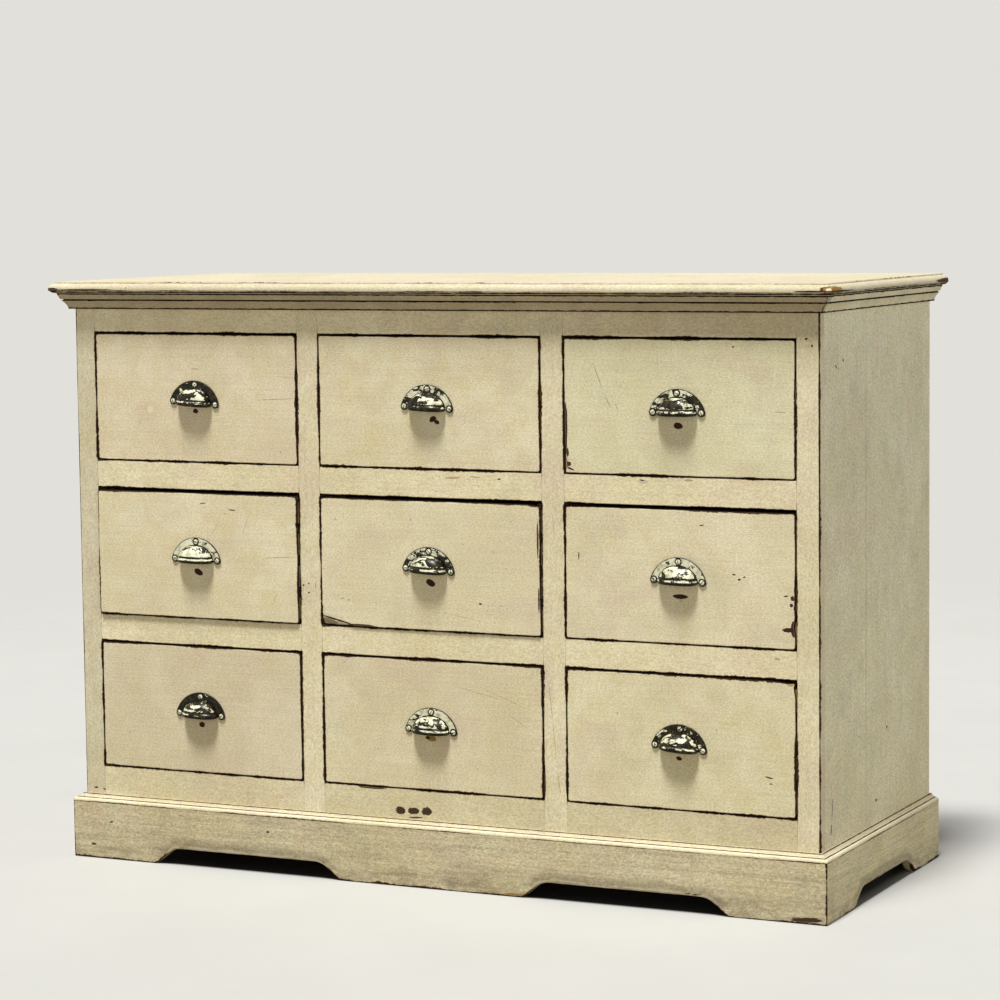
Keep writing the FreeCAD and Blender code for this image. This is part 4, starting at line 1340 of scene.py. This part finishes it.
def moulding_paint():
    coat = Coat("moulding_paint", ACROSS_GRAIN, 0.4, 0.8)
    # Painted shade on the front run, under the nose of the top
    coat.tint(front_run, (0.64, 0.59, 0.57, 1))
    coat.tint(mitre_line, (0.3, 0.23, 0.17, 1))
    coat.fleck()
    coat.wear(0.35, 0.95)
    # Painted shade along the creases of the moulding and where it meets the top and the case
    coat.line("groove_gap", CREVICE, 2.3, 1.0)
    return coat.done()


def cap_paint():
    coat = Coat("cap_paint", ACROSS_GRAIN, 0.3, 0.2, (0.96, 0.96, 0.96, 1))
    # Painted shade in the hollow of the cap
    coat.tint(cove_of_cap, (0.8, 0.79, 0.76, 1))
    coat.fleck()
    coat.wear(1.0, 0.95)
    coat.line("groove_gap", WORN_BROWN, 1.25, 0.97)
    return coat.done()


def top_paint():
    # The top is tinted darker as painted shade, against the strong light from above
    coat = Coat("top_paint", ACROSS_GRAIN, 0.25, 0.1, (0.82, 0.82, 0.84, 1))
    coat.fleck()
    coat.mark(TOP_MARKS)
    coat.wear(0.6, 0.95)
    # Painted shade in the hollow under the nose of the top
    coat.line("groove_gap", CREVICE, 2.2, 0.98)
    coat.line("quirk_gap", QUIRK_BROWN, 1.0, 0.85)
    return coat.done()


def plinth_paint(side):
    """Paint of a plinth board, rubbed through to its grain and dirty at the foot."""
    front = side == "front"
    grain = ACROSS_GRAIN if front else DEPTH_GRAIN
    # The end boards are tinted lighter as painted light on the sides
    tint = (0.79, 0.77, 0.74, 1) if front else (1.06, 1.06, 1.03, 1)
    coat = Coat(f"plinth_paint_{side}", grain, 0.5, 0.45, tint, streaks=0.14, speckle=0.4)
    coat.splash_foot(0.75)
    coat.fleck()
    coat.mark(PLINTH_MARKS if front else ())
    coat.wear(2.6, 0.7)
    coat.rub_lip(over_gaps)
    coat.leave_bare(behind_plinth)
    return coat.done()


def panel_paint(side):
    # The side panels are tinted lighter and cooler as painted light on the sides, and lighter still low down
    coat = Coat(f"panel_paint_{side}", UPRIGHT_GRAIN, 0.25, 0.45, (1.06, 1.09, 1.1, 1), streaks=0.06,
                speckle=0.4)
    coat.tint(low_on_panel, (1.1, 1.1, 1.1, 1))
    coat.fleck()
    coat.mark(SIDE_MARKS if side == "right" else (), END_FACE)
    coat.leave_bare(inside_of_panel)
    return coat.done()


# Bare pine

def sawn_finish(n, shader, colour, height):
    """Put bare pine on a shader."""
    n.put(shader.inputs["Base Color"], colour)
    n.put(shader.inputs["Roughness"], n.remap(height, 0.3, 1.2, 0.62, 0.8))
    add_bump(n, shader, height, 0.35, 0.5)


def pine(name, grain, aged):
    """Bare pine of the hidden pieces."""
    material, n, shader = new_material(name)
    wood = n.group(BARE_PINE, Place=n.place(), Grain=grain, Aged=aged)
    sawn_finish(n, shader, wood["Color"], wood["Height"])
    return material


def drawer_pine():
    """Bare pine of the drawer boxes, its grain running along the back and along the sides."""
    material, n, shader = new_material("pine_drawer")
    place = n.place()
    back = n.group(BARE_PINE, Place=place, Grain=(3, 60, 60), Aged=0.2)
    sides = n.group(BARE_PINE, Place=place, Grain=(60, 3, 60), Aged=0.2)
    on_side = n.remap(n.size(normal_share(n, END_FACE)), 0.4, 0.6)
    colour = n.mix(on_side, back["Color"], sides["Color"])
    sawn_finish(n, shader, colour, n.between(on_side, back["Height"], sides["Height"]))
    return material


def back_pine(board_width):
    """Bare pine of the row of back boards, each with its own grain and tone; their width is in mm."""
    material, n, shader = new_material("pine_back")
    place = n.place()
    share = n.divided(n.part(place, "X"), board_width * MM)
    number = n.maths("FLOOR", share)
    own_tone = n.between(n.maths("FRACT", n.times(number, 0.618)), 0.75, 1.05)
    joint = n.size(n.minus(share, n.maths("ROUND", share)))
    joint = n.remap(joint, 1.4 / board_width, 0.5 / board_width)
    own_place = n.moved(place, n.node("ShaderNodeCombineXYZ", 0, number, number).outputs[0])
    wood = n.group(BARE_PINE, Place=own_place, Grain=(50, 50, 2.5), Aged=0.6)
    colour = n.mix(joint, n.tinted(wood["Color"], n.grey(own_tone)), CREVICE)
    sawn_finish(n, shader, colour, wood["Height"])
    return material


# Castings and screws

BARE_RING = 4.6
LIP_LINE = 3.9
LIP_HALF = 0.5
LIP_LOW = 1.5
CUP_FOOT = 1.02
FOOT_BAND = 0.4


def away_from(n, x, z, centre_x, centre_z, half_x=1, half_z=1):
    """Distance from a point, in shares of the half sizes."""
    across = n.divided(n.minus(x, centre_x), half_x)
    up = n.divided(n.minus(z, centre_z), half_z)
    return n.maths("SQRT", n.plus(n.times(across, across), n.times(up, up)))


def worn_and_shaded_lines(n):
    """Distance in mm to the lines where a pull shows bare dark iron, from the pull's own place."""
    # Bare iron at the flange's rim, the cup's foot and over the lip: partly wear, partly painted shade
    x, y, z = n.parts(n.attribute("own_place", "Vector"))
    hand = n.size(x)
    crown = n.minus(crown_radius, away_from(n, x, z, 0, crown_centre))
    ear = n.minus(PULL_EAR, away_from(n, hand, z, PULL_HALF_WIDTH - PULL_EAR, 0))
    rim = n.between(n.maths("GREATER_THAN", z, 0.0), ear, crown)
    rings = []
    for screw_x, screw_z in SCREW_PLACES[1:]:
        from_screw = away_from(n, hand if screw_x else x, z, screw_x, screw_z)
        rings.append(n.size(n.minus(from_screw, BARE_RING)))
    foot = n.minus(away_from(n, x, z, 0, PULL_RIM, CUP_HALF_WIDTH, CUP_RISE), CUP_FOOT)
    foot = n.times(n.size(foot), CUP_RISE)
    flange = n.least(n.least(rim, foot), n.least(rings[0], rings[1]))
    lip = n.minus(n.size(n.minus(z, LIP_LINE)), LIP_HALF)
    lip = n.most(n.least(lip, n.plus(z, LIP_LOW)), 0.0)
    foot_of_cup = n.most(n.minus(-FLANGE - FOOT_BAND, y), 0.0)
    cup = n.least(lip, foot_of_cup)
    return n.between(n.maths("GREATER_THAN", n.attribute("on_flange"), 0.5), cup, flange)


def casting():
    """Dark cast iron with what is left of thick cream paint, worn off by hands, and bare below as painted
    shade.
    """
    material, n, shader = new_material("flaking_casting")
    place = n.place()
    large = n.noise(n.stretched(place, (0.65, 1, 1.4)), 52, 3, 0.5, 1.6)
    small = n.noise(place, 190, 3, 0.55, 0.6)
    field = n.plus(n.times(large, 0.7), n.times(small, 0.3))
    level = n.between(n.attribute("paint_left"), 0.63, 0.37)
    kept = n.remap(n.minus(field, level), -0.008, 0.01, smooth=True)
    ragged = n.remap(n.noise(place, 170, 3, 0.6), 0.32, 0.68, 0.5, 1.5)
    clear = n.remap(n.minus(worn_and_shaded_lines(n), ragged), 0.0, 0.35, smooth=True)
    # Downward faces show bare iron: partly wear under the lip, partly painted shade under the lip and ears
    not_below = n.remap(normal_share(n, UPWARD), -0.55, -0.2, smooth=True)
    kept = n.times(kept, n.times(clear, not_below))
    paint = n.mix(n.remap(n.noise(place, 120, 3), 0.45, 0.7), PULL_PAINT, PULL_PAINT_GREY)
    iron = n.mix(n.remap(n.noise(place, 150, 3), 0.45, 0.75), IRON, IRON_BROWN)
    n.put(shader.inputs["Base Color"], n.mix(kept, iron, paint))
    n.put(shader.inputs["Metallic"], n.between(kept, 0.55, 0.0))
    n.put(shader.inputs["Roughness"], n.between(kept, 0.3, 0.36))
    pitted = n.noise(place, 330, 3, 0.6)
    add_bump(n, shader, n.plus(n.times(kept, 1.2), n.times(pitted, 0.7)), 0.6, 0.4)
    return material


def screw_metal():
    """Steel screw with paint left in its slot and on its head."""
    material, n, shader = new_material("painted_screw")
    place = n.place()
    kept = n.remap(n.noise(place, 330, 3, 0.6), 0.36, 0.44, smooth=True)
    kept = n.times(kept, n.remap(n.attribute("edge_gap"), 0.1 * MM, 0.6 * MM))
    n.put(shader.inputs["Base Color"], n.mix(kept, IRON, PULL_PAINT))
    n.put(shader.inputs["Metallic"], n.between(kept, 0.9, 0.0))
    n.put(shader.inputs["Roughness"], n.between(kept, 0.38, 0.5))
    add_bump(n, shader, n.noise(place, 500, 2), 0.4, 0.3)
    return material


# Marks and damage, in mm: kind, centre, half size, turn in degrees, raggedness and strength. A mark reaches
# MARK_DEPTH into the piece, and its centre also seeds its outline.

PLINTH_FACE = -252


def at(x, z):
    """Centre of a mark on the front of the case."""
    return (x, front_plane, z)


def on_plinth(x, z):
    """Centre of a mark on the front plinth board."""
    return (x, PLINTH_FACE, z)


def on_side(y, z):
    """Centre of a mark on the right side panel."""
    return (half_case, y, z)


FRONT_MARKS = {
    "top_left": [
        ("hole", at(-406.4, 721.3), (5.2, 4.2), 0, 0.5, 0.985),
        ("rim", at(-405.7, 787), (9, 1), 0, 0.6, 0.7), ("rim", at(-262, 742), (36, 0.7), 3, 0.8, 0.8),
        ("pale", at(-489, 722), (6, 6), 0, 0.6, 0.8), ("rim", at(-240, 776), (20, 0.5), -4, 0.8, 0.5)],
    "top_centre": [
        ("hole", at(9, 717), (6.6, 4.4), 25, 0.6, 0.985),
        ("hole", at(15.5, 712.6), (5, 3.6), -20, 0.6, 0.985), ("rim", at(-120, 800), (2, 1), 20, 0.5, 0.6),
        ("pale", at(130, 690), (14, 0.8), 10, 0.7, 0.6)],
    "top_right": [
        ("hole", at(408, 715), (8.2, 5), -8, 0.6, 0.985),
        ("smudge", at(231.5, 672), (2.2, 7), 0, 0.9, 0.97),
        ("smudge", at(229, 708), (2.8, 42), 0, 1.1, 0.985),
        ("smudge", at(233, 655), (4.4, 4), 30, 1.0, 0.97),
        ("smudge", at(236, 648), (7, 1.6), -20, 1.0, 0.97), ("rim", at(281, 786), (0.7, 22), 21, 0.7, 0.9),
        ("rim", at(297, 748), (0.8, 9), 28, 0.7, 0.9), ("rim", at(311, 741), (0.7, 7), 22, 0.7, 0.8),
        ("dark", at(494, 830.5), (2.2, 1.2), 20, 0.6, 0.94), ("pale", at(497, 834), (3, 2), 0, 0.6, 0.8),
        ("rim", at(565.7, 738), (9, 0.8), 0, 0.7, 0.8), ("pale", at(558, 790), (1.4, 24), -8, 0.6, 0.7)],
    "middle_left": [
        ("hole", at(-404.6, 468.6), (9, 5.4), -25, 0.5, 0.985),
        ("dark", at(-394, 577), (6, 0.9), 10, 0.8, 0.94), ("pale", at(-384, 577), (4, 1.8), 0, 0.6, 0.8),
        ("dark", at(-342, 568), (7, 1), -4, 0.8, 0.94), ("rim", at(-355, 562), (3, 1), 10, 0.8, 0.7),
        ("rim", at(-258, 497), (32, 0.7), 4, 0.8, 0.8), ("pale", at(-236, 545), (11, 2.4), 8, 0.9, 0.9),
        ("pale", at(-425, 552), (0.7, 22), 30, 0.5, 0.6), ("rim", at(-318, 545), (0.6, 16), -22, 0.5, 0.55),
        ("rim", at(-372, 540), (0.6, 18), -35, 0.5, 0.5), ("rim", at(-268, 432), (0.6, 14), -25, 0.5, 0.6)],
    "middle_centre": [
        ("hole", at(2.6, 468.5), (9, 5.6), -25, 0.4, 0.985),
        ("rim", at(-149, 438), (2.4, 1.2), 0, 0.7, 0.9), ("rim", at(-139, 436), (2.4, 1.2), 0, 0.7, 0.9),
        ("dark", at(86, 440), (3, 1.5), -10, 0.6, 0.94), ("rim", at(60, 418), (40, 0.6), -9, 0.7, 0.5),
        ("rim", at(-160, 560), (2, 1.4), 0, 0.7, 0.6), ("smudge", at(182, 540), (1.6, 28), 0, 0.9, 0.94),
        ("smudge", at(183, 450), (1.4, 20), 0, 0.9, 0.94),
        ("shade", at(-174, 402), (15, 5.4), -13, 0.3, 0.85),
        ("smudge", at(-160, 404.6), (30, 1.5), -13, 0.3, 0.985),
        ("smudge", at(-120, 397.6), (26, 2.2), 0, 0.9, 0.97)],
    "middle_right": [
        ("hole", at(410, 465.5), (12.5, 3.8), 0, 0.5, 0.985), ("grey", at(411, 459), (3, 3), 0, 0.5, 0.9),
        ("dark", at(494, 501), (3, 1.2), -10, 0.6, 0.97), ("dark", at(502, 494), (2.6, 1.6), 10, 0.6, 0.97),
        ("dark", at(510, 498), (2.4, 1.2), 20, 0.6, 0.97), ("dark", at(444, 571), (4, 1), 10, 0.6, 0.94),
        ("smudge", at(584, 470), (3.4, 4), 0, 0.9, 0.985), ("dark", at(248, 519), (1, 6), 0, 0.7, 0.94),
        ("pale", at(240, 462), (14, 1.1), 3, 0.5, 0.9), ("hole", at(578, 424), (11, 3.6), 0, 0.8, 0.985),
        ("smudge", at(586, 425), (5.4, 13), 0, 0.7, 0.985),
        ("smudge", at(574, 473), (4, 1.2), 10, 0.8, 0.97), ("smudge", at(582, 460), (3, 3), 0, 0.9, 0.97)],
    "bottom_left": [
        ("hole", at(-406.4, 225.8), (6, 4.6), 0, 0.5, 0.985),
        ("pale", at(-330, 260), (18, 0.7), -14, 0.6, 0.6), ("rim", at(-540, 205), (2.4, 1.4), 0, 0.6, 0.7)],
    "bottom_centre": [
        ("chip", at(-1.4, 230.3), (10, 5), -10, 0.6, 0.95), ("hole", at(-7, 230.5), (4, 2.6), 0, 0.6, 0.91),
        ("rim", at(80, 304), (48, 0.6), -12, 0.7, 0.6), ("rim", at(130, 296), (52, 0.6), -20, 0.7, 0.5),
        ("rim", at(150, 262), (24, 0.6), -30, 0.7, 0.5), ("pale", at(-60, 190), (18, 0.8), 12, 0.6, 0.6)],
    "bottom_right": [
        ("hole", at(406.3, 226), (5.2, 3.2), -15, 0.5, 0.985),
        ("dark", at(547, 207), (7, 1.2), -12, 0.8, 0.955), ("dark", at(550, 198), (2, 1.2), 0, 0.6, 0.94),
        ("rim", at(580, 345), (6, 2.6), 0, 0.9, 0.9), ("pale", at(330, 300), (26, 0.8), 10, 0.6, 0.5)],
}

STILE_MARKS = [
    ("dark", at(-219.5, 455), (1.6, 1.6), 0, 0.4, 0.985),
    ("dark", at(-210, 458), (1.5, 1.5), 0, 0.4, 0.985), ("dark", at(-210, 444), (1.8, 1.4), 0, 0.4, 0.985),
    ("rim", at(-198, 455), (1, 5), 10, 0.6, 0.9), ("dark", at(605, 843), (2.6, 1.6), 20, 0.6, 0.955),
    ("hole", at(614, 833), (1.6, 2.2), 0, 0.5, 0.955), ("rim", at(199, 300), (0.7, 26), 6, 0.7, 0.7),
    ("rim", at(205, 240), (0.7, 30), 5, 0.7, 0.6), ("rim", at(212, 175), (0.8, 16), 8, 0.7, 0.7),
    ("smudge", at(-607, 111), (4, 1.6), 10, 1.0, 0.94), ("smudge", at(-590, 109), (5, 1.4), -10, 1.0, 0.94),
    ("rim", at(-605, 560), (1.5, 3), 0, 0.6, 0.6), ("rim", at(207, 560), (0.7, 20), 5, 0.6, 0.5)]

RAIL_MARKS = [
    ("rim", at(40, 629), (14, 1.6), 4, 1.1, 0.8), ("rim", at(78, 631), (10, 1.4), -5, 1.1, 0.7),
    ("pale", at(100, 636), (22, 1.6), 2, 0.8, 0.9), ("smudge", at(118, 629), (3, 1.4), 0, 1.0, 0.94),
    ("grey", at(352, 632), (9, 4), 0, 1.1, 0.9), ("dark", at(350, 634), (4, 1.2), -10, 1.0, 0.91),
    ("rim", at(424, 636), (8, 1.8), 0, 1.1, 0.8), ("pale", at(440, 640), (40, 1), 1, 0.7, 0.8),
    ("smudge", at(-56, 114), (9.5, 6.5), 0, 1.0, 0.97), ("smudge", at(-34, 115), (11, 5.5), 0, 1.1, 0.97),
    ("smudge", at(-11, 116), (9.5, 6.8), 10, 1.0, 0.97), ("smudge", at(-105, 146), (28, 1.8), 0, 1.1, 0.97),
    ("smudge", at(-30, 105), (13, 1.4), 4, 1.1, 0.91), ("rim", at(-150, 378), (2, 1.4), 0, 0.7, 0.7),
    ("rim", at(560, 381), (5, 2.4), 0, 1.0, 0.7)]

SIDE_MARKS = [
    ("dark", on_side(-136, 808), (4, 2), 30, 0.6, 0.91),
    ("dark", on_side(-166, 800), (5, 1.6), 30, 0.6, 0.91),
    ("pale", on_side(-91, 588), (20, 1.6), 36, 0.6, 0.9),
    ("dark", on_side(-185, 157), (1.3, 17), 7, 0.7, 0.94),
    ("dark", on_side(-190, 127), (2.2, 9), 9, 0.8, 0.94), ("dark", on_side(10, 136), (5, 2), 0, 0.7, 0.91),
    ("rim", on_side(-35.5, 500), (1.1, 420), 0, 0.1, 0.75),
    ("dark", on_side(60, 240), (3, 3), 0, 0.6, 0.85)]

PLINTH_MARKS = [
    ("smudge", on_plinth(-604, 22), (5, 2), 0, 1.0, 0.91),
    ("smudge", on_plinth(-570, 60), (4, 1.5), 10, 1.0, 0.91),
    ("rim", on_plinth(-440, 80), (5, 1.6), 0, 1, 0.9), ("smudge", on_plinth(-282, 66), (3, 2), 0, 1, 0.91),
    ("smudge", on_plinth(610, 6), (26, 4), 4, 1.0, 0.955),
    ("chip", on_plinth(150, 3), (30, 3), 0, 1.1, 0.8)]

# On the edge of the top, mostly at its chipped right corner
TOP_MARKS = [
    ("smudge", (624, -264, 911), (28, 1.5), 0, 0.9, 0.985),
    ("smudge", (648, -262, 912.6), (13, 6), 0, 1.4, 0.955),
    ("chip", (650, -262, 913), (10, 5.2), 0, 1.3, 0.95), ("pale", (650, -262, 913.4), (5, 2.4), 0, 1.3, 1),
    ("smudge", (656, -235, 911), (30, 1.6), 0, 1, 0.97),
    ("smudge", (-648, -264, 911), (12, 3), 0, 1.0, 0.97),
    ("smudge", (-585, -264, 911), (52, 1.4), 0, 1.1, 0.955),
    ("smudge", (656, 262, 912), (9, 4), 0, 1, 0.97)]

# Bites and breaks of the drawer fronts, as worn_board takes them
BITES = {
    "middle_left": [(1, 153, 5, 2.2)],
    "middle_right": [(1, 34, 12, 1.6), (1, 60, 6, 1.6)],
    "middle_centre": [(3, 363, 14, 2.5)],
    "bottom_right": [(3, 350, 22, 3), (1, 190, 12, 2.4)],
    "top_right": [(0, 14, 16, 2.6), (0, 34, 8, 2)],
}
BREAKS = {
    "middle_centre": [(2, 0, 58, 11, 6)],
    "top_right": [(0, 14, 14, 5, 2.4)],
}

# Shares of the paint left on the flange and on the cup of each pull, and how many degrees askew it sits
PULL_STATES = {
    "top_left": (0.1, 0.4, 3.9), "top_centre": (0.6, 0.5, 2.5), "top_right": (0.5, 0.48, 0),
    "middle_left": (0.78, 0.6, 1.1), "middle_centre": (0.58, 0.48, 2.7), "middle_right": (0.86, 0.64, 1.5),
    "bottom_left": (0.1, 0.4, 1.6), "bottom_centre": (0.8, 0.55, 1.7), "bottom_right": (0.32, 0.5, 4),
}

FRONT_TINTS = {
    "top_left": (1, 0.98, 1, 1), "top_right": (0.97, 1, 0.97, 1), "bottom_left": (0.93, 0.91, 0.93, 1),
    "bottom_centre": (0.95, 0.94, 0.93, 1), "bottom_right": (0.98, 0.99, 0.96, 1),
}


# Making the piece

def dress(node, material):
    """Give a CAD node that keeps its shape a better material."""
    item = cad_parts[node]
    if not item.material_slots:
        item.data.materials.append(material)
    for place in item.material_slots:
        place.material = material


def make_inside():
    """Bare pine on everything behind the front."""
    along_x = pine("pine_across", (3, 60, 60), 0.3)
    along_y = pine("pine_deep", (60, 3, 60), 0.35)
    upright = pine("pine_upright", (60, 60, 3), 0.4)
    for node in ("bottom_board", "backing_rails"):
        dress(node, along_x)
    for node in ("drawer_runners", "top_kickers", "drawer_guides", "drawer_stops"):
        dress(node, along_y)
    for node in ("partition_left", "partition_right", "glue_blocks"):
        dress(node, upright)
    low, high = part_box("back_boards")
    dress("back_boards", back_pine((high.x - low.x) / MM / BACK_BOARDS))
    boxes = drawer_pine()
    for row in ROWS:
        for column in COLUMNS:
            dress(f"drawer_box_{row}_{column}", boxes)


def make_case():
    """Top, mouldings and plinth, and paint on the side panels."""
    top_board(top_paint())
    moulding_set("worn_bed_moulding", bed_edge(), CASE_HEIGHT - BED_HEIGHT, "bed_moulding", moulding_paint())
    moulding_set("worn_plinth_cap", cap_edge(), PLINTH_HEIGHT, "plinth_cap", cap_paint())
    for side, gaps, seed in (("front", FRONT_GAPS, 5), ("left", SIDE_GAPS, 9), ("right", SIDE_GAPS, 9)):
        board = plinth_board(f"shaped_plinth_{side}", side, gaps, seed)
        finish(board, "carcass", [f"plinth_{side}"], plinth_paint(side))
    for side in ("left", "right"):
        dress(f"side_panel_{side}", panel_paint(side))


def make_stiles():
    paint = stile_paint()
    outer = []
    for hand, left, seed in (("left", -half_case, 3), ("right", half_case - OUTER_STILE, 7)):
        right = left + OUTER_STILE
        outer.append(frame_board(f"outer_stile_{hand}", left, right, FLOOR_CLEARANCE, CASE_HEIGHT, seed))
    finish(join("worn_outer_stiles", outer), "carcass", ["outer_stiles"], paint)
    inner = []
    for column in (0, 1):
        left = opening_left(column) + BAY_WIDTHS[column]
        right = left + INNER_STILE
        inner.append(frame_board(f"inner_stile_{column}", left, right, LOWEST_RAIL_FOOT, CASE_HEIGHT,
                                 11 + column))
    finish(join("worn_inner_stiles", inner), "carcass", ["inner_stiles"], paint)


def make_rails():
    paint = rail_paint()
    levels = {
        "top_rails": [(CASE_HEIGHT - TOP_RAIL_HEIGHT, CASE_HEIGHT)],
        "middle_rails": [(opening_floor(row) - RAIL_HEIGHT, opening_floor(row)) for row in (1, 2)],
        "bottom_rails": [(LOWEST_RAIL_FOOT, LOWEST_OPENING)],
    }
    for node, heights in levels.items():
        boards = []
        for low, high in heights:
            for column in range(3):
                left = opening_left(column)
                right = left + BAY_WIDTHS[column]
                seed = round(low) + column
                boards.append(frame_board(f"{node}_{column}_{low:g}", left, right, low, high, seed))
        finish(join(f"worn_{node}", boards), "carcass", [node], paint)


def make_drawer_fronts():
    for row in range(3):
        for column in range(3):
            place = f"{ROWS[row]}_{COLUMNS[column]}"
            node = f"drawer_front_{place}"
            number = row * 3 + column
            low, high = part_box(node)
            front = worn_board(f"worn_front_{place}", low.x / MM, high.x / MM, low.z / MM, high.z / MM,
                               low.y / MM, (high.y - low.y) / MM, FRONT_STEP, FRONT_WEAR, 20 * number + 5,
                               corner=FRONT_CORNER, bites=BITES.get(place, ()), breaks=BREAKS.get(place, ()))
            finish(front, f"drawer_{place}", [node], front_paint(place, number))


def make_pulls():
    iron = casting()
    steel = screw_metal()
    pull = bare_pull()
    screw = bare_screw()
    for row in range(3):
        for column in range(3):
            pull_and_screws(pull, screw, row, column, iron, steel)
    for master in (pull, screw):
        bpy.data.objects.remove(master)


# Floor, light and camera, in metres

FLOOR_RADIUS = 7
FADE_START = 1.6
FADE_END = 4.2
FLOOR_DROP = 0.0003

# Where the painted shadow on the floor inside the plinth begins and is full, left and right and front and back
DARK_ACROSS = (0.64, 0.615)
DARK_DEEP = (0.262, 0.25)
DARK_MIDDLE = 0.01

# Two suns high in front: the horizontal run of each for a fall of 1, and its spread in degrees
KEYS = {"low_key": (2.45, 10), "high_key": (3.5, 14)}
KEY_ENERGY = 2.4
KEY_COLOUR = (0.94, 0.97, 1.0)
ROOM_STRENGTH = 0.88
ROOM_LEFT = (1.06, 1.0, 0.93, 1)
ROOM_RIGHT = (0.94, 0.99, 1.05, 1)

LENS = 114.09
SENSOR_WIDTH = 36
CAMERA_PLACE = (2.1648, -4.48513, 1.05118)
CAMERA_YAW = 25.7067
CAMERA_DIP = 5.4906
CAMERA_ROLL = -0.6677


def under_case(n, place):
    """The floor inside the plinth, where hardly any light comes; its colour is darkened there as a painted
    shadow.
    """
    across = n.remap(n.size(n.part(place, "X")), *DARK_ACROSS)
    deep = n.remap(n.size(n.minus(n.part(place, "Y"), DARK_MIDDLE)), *DARK_DEEP)
    return n.times(across, deep)


def floor_finish():
    """Pale floor that fades into the background."""
    material = bpy.data.materials.new("floor_finish")
    material.use_nodes = True
    n = Nodes(material.node_tree)
    n.nodes.clear()
    place = n.place()
    seen = n.nodes.new("ShaderNodeLightPath").outputs["Is Camera Ray"]
    cloudy = n.remap(n.noise(place, 3, 4, 0.6), 0.3, 0.7, 0.97, 1.02)
    # Painted shadow on the floor under the case
    shade = n.times(cloudy, n.between(under_case(n, place), 1.0, 0.04))
    surface = n.nodes.new("ShaderNodeBsdfPrincipled")
    n.put(surface.inputs["Base Color"], n.mix(seen, FLOOR_BOUNCE, n.tinted(FLOOR_PALE, n.grey(shade))))
    surface.inputs["Roughness"].default_value = 0.7
    clear = n.nodes.new("ShaderNodeBsdfTransparent").outputs[0]
    away = n.remap(n.vector("LENGTH", place), FADE_START, FADE_END, smooth=True)
    blend = n.node("ShaderNodeMixShader", away, surface.outputs[0], clear)
    sink = n.nodes.new("ShaderNodeOutputMaterial")
    n.put(sink.inputs["Surface"], blend.outputs[0])
    return material


def make_floor():
    deselect()
    bpy.ops.mesh.primitive_circle_add(vertices=96, radius=FLOOR_RADIUS, fill_type="NGON",
                                      location=(0, 0, -FLOOR_DROP))
    floor = named("studio_floor")
    floor.data.materials.append(floor_finish())


def light_keys():
    for name, (slope, spread) in KEYS.items():
        deselect()
        bpy.ops.object.light_add(type="SUN", location=(0, -2, 5))
        key = bpy.context.active_object
        key.name = name
        key.data.energy = KEY_ENERGY
        key.data.angle = math.radians(spread)
        key.data.color = KEY_COLOUR
        key.rotation_euler = (math.atan2(1, slope), 0, 0)


def light_room():
    """Pale room, darker overhead and brighter on the right; the camera and reflections see it even."""
    world = bpy.data.worlds.new("studio")
    bpy.context.scene.world = world
    world.use_nodes = True
    n = Nodes(world.node_tree)
    n.nodes.clear()
    direction = n.nodes.new("ShaderNodeTexCoord").outputs["Generated"]
    to_right = n.part(direction, "X")
    path = n.nodes.new("ShaderNodeLightPath").outputs
    shown = n.most(path["Is Camera Ray"], n.most(path["Is Glossy Ray"], path["Is Transmission Ray"]))
    low = n.minus(1.0, n.size(n.part(direction, "Z")))
    room = n.times(n.times(low, low), n.remap(to_right, -1.0, 1.0, 0.66, 1.42))
    room_colour = n.tinted(n.grey(room), n.mix(n.remap(to_right, 0.0, 1.0), ROOM_LEFT, ROOM_RIGHT))
    background = n.nodes.new("ShaderNodeBackground")
    n.put(background.inputs["Color"], n.mix(shown, room_colour, BACKDROP))
    n.put(background.inputs["Strength"], n.between(shown, ROOM_STRENGTH, 1.0))
    sink = n.nodes.new("ShaderNodeOutputWorld")
    n.put(sink.inputs["Surface"], background.outputs[0])


def set_camera():
    """Camera where the photograph was taken from."""
    deselect()
    bpy.ops.object.camera_add()
    camera = bpy.context.active_object
    camera.name = "photo_camera"
    camera.data.sensor_width = SENSOR_WIDTH
    camera.data.lens = LENS
    yaw = Matrix.Rotation(math.radians(CAMERA_YAW), 4, "Z")
    tilt = Matrix.Rotation(math.radians(90 - CAMERA_DIP), 4, "X")
    roll = Matrix.Rotation(math.radians(CAMERA_ROLL), 4, "Z")
    camera.matrix_world = Matrix.Translation(CAMERA_PLACE) @ yaw @ tilt @ roll
    bpy.context.scene.camera = camera


def main():
    set_camera()
    light_keys()
    light_room()
    make_floor()
    make_inside()
    make_case()
    make_stiles()
    make_rails()
    make_drawer_fronts()
    make_pulls()
    bpy.context.scene.view_settings.view_transform = "Standard"


main()
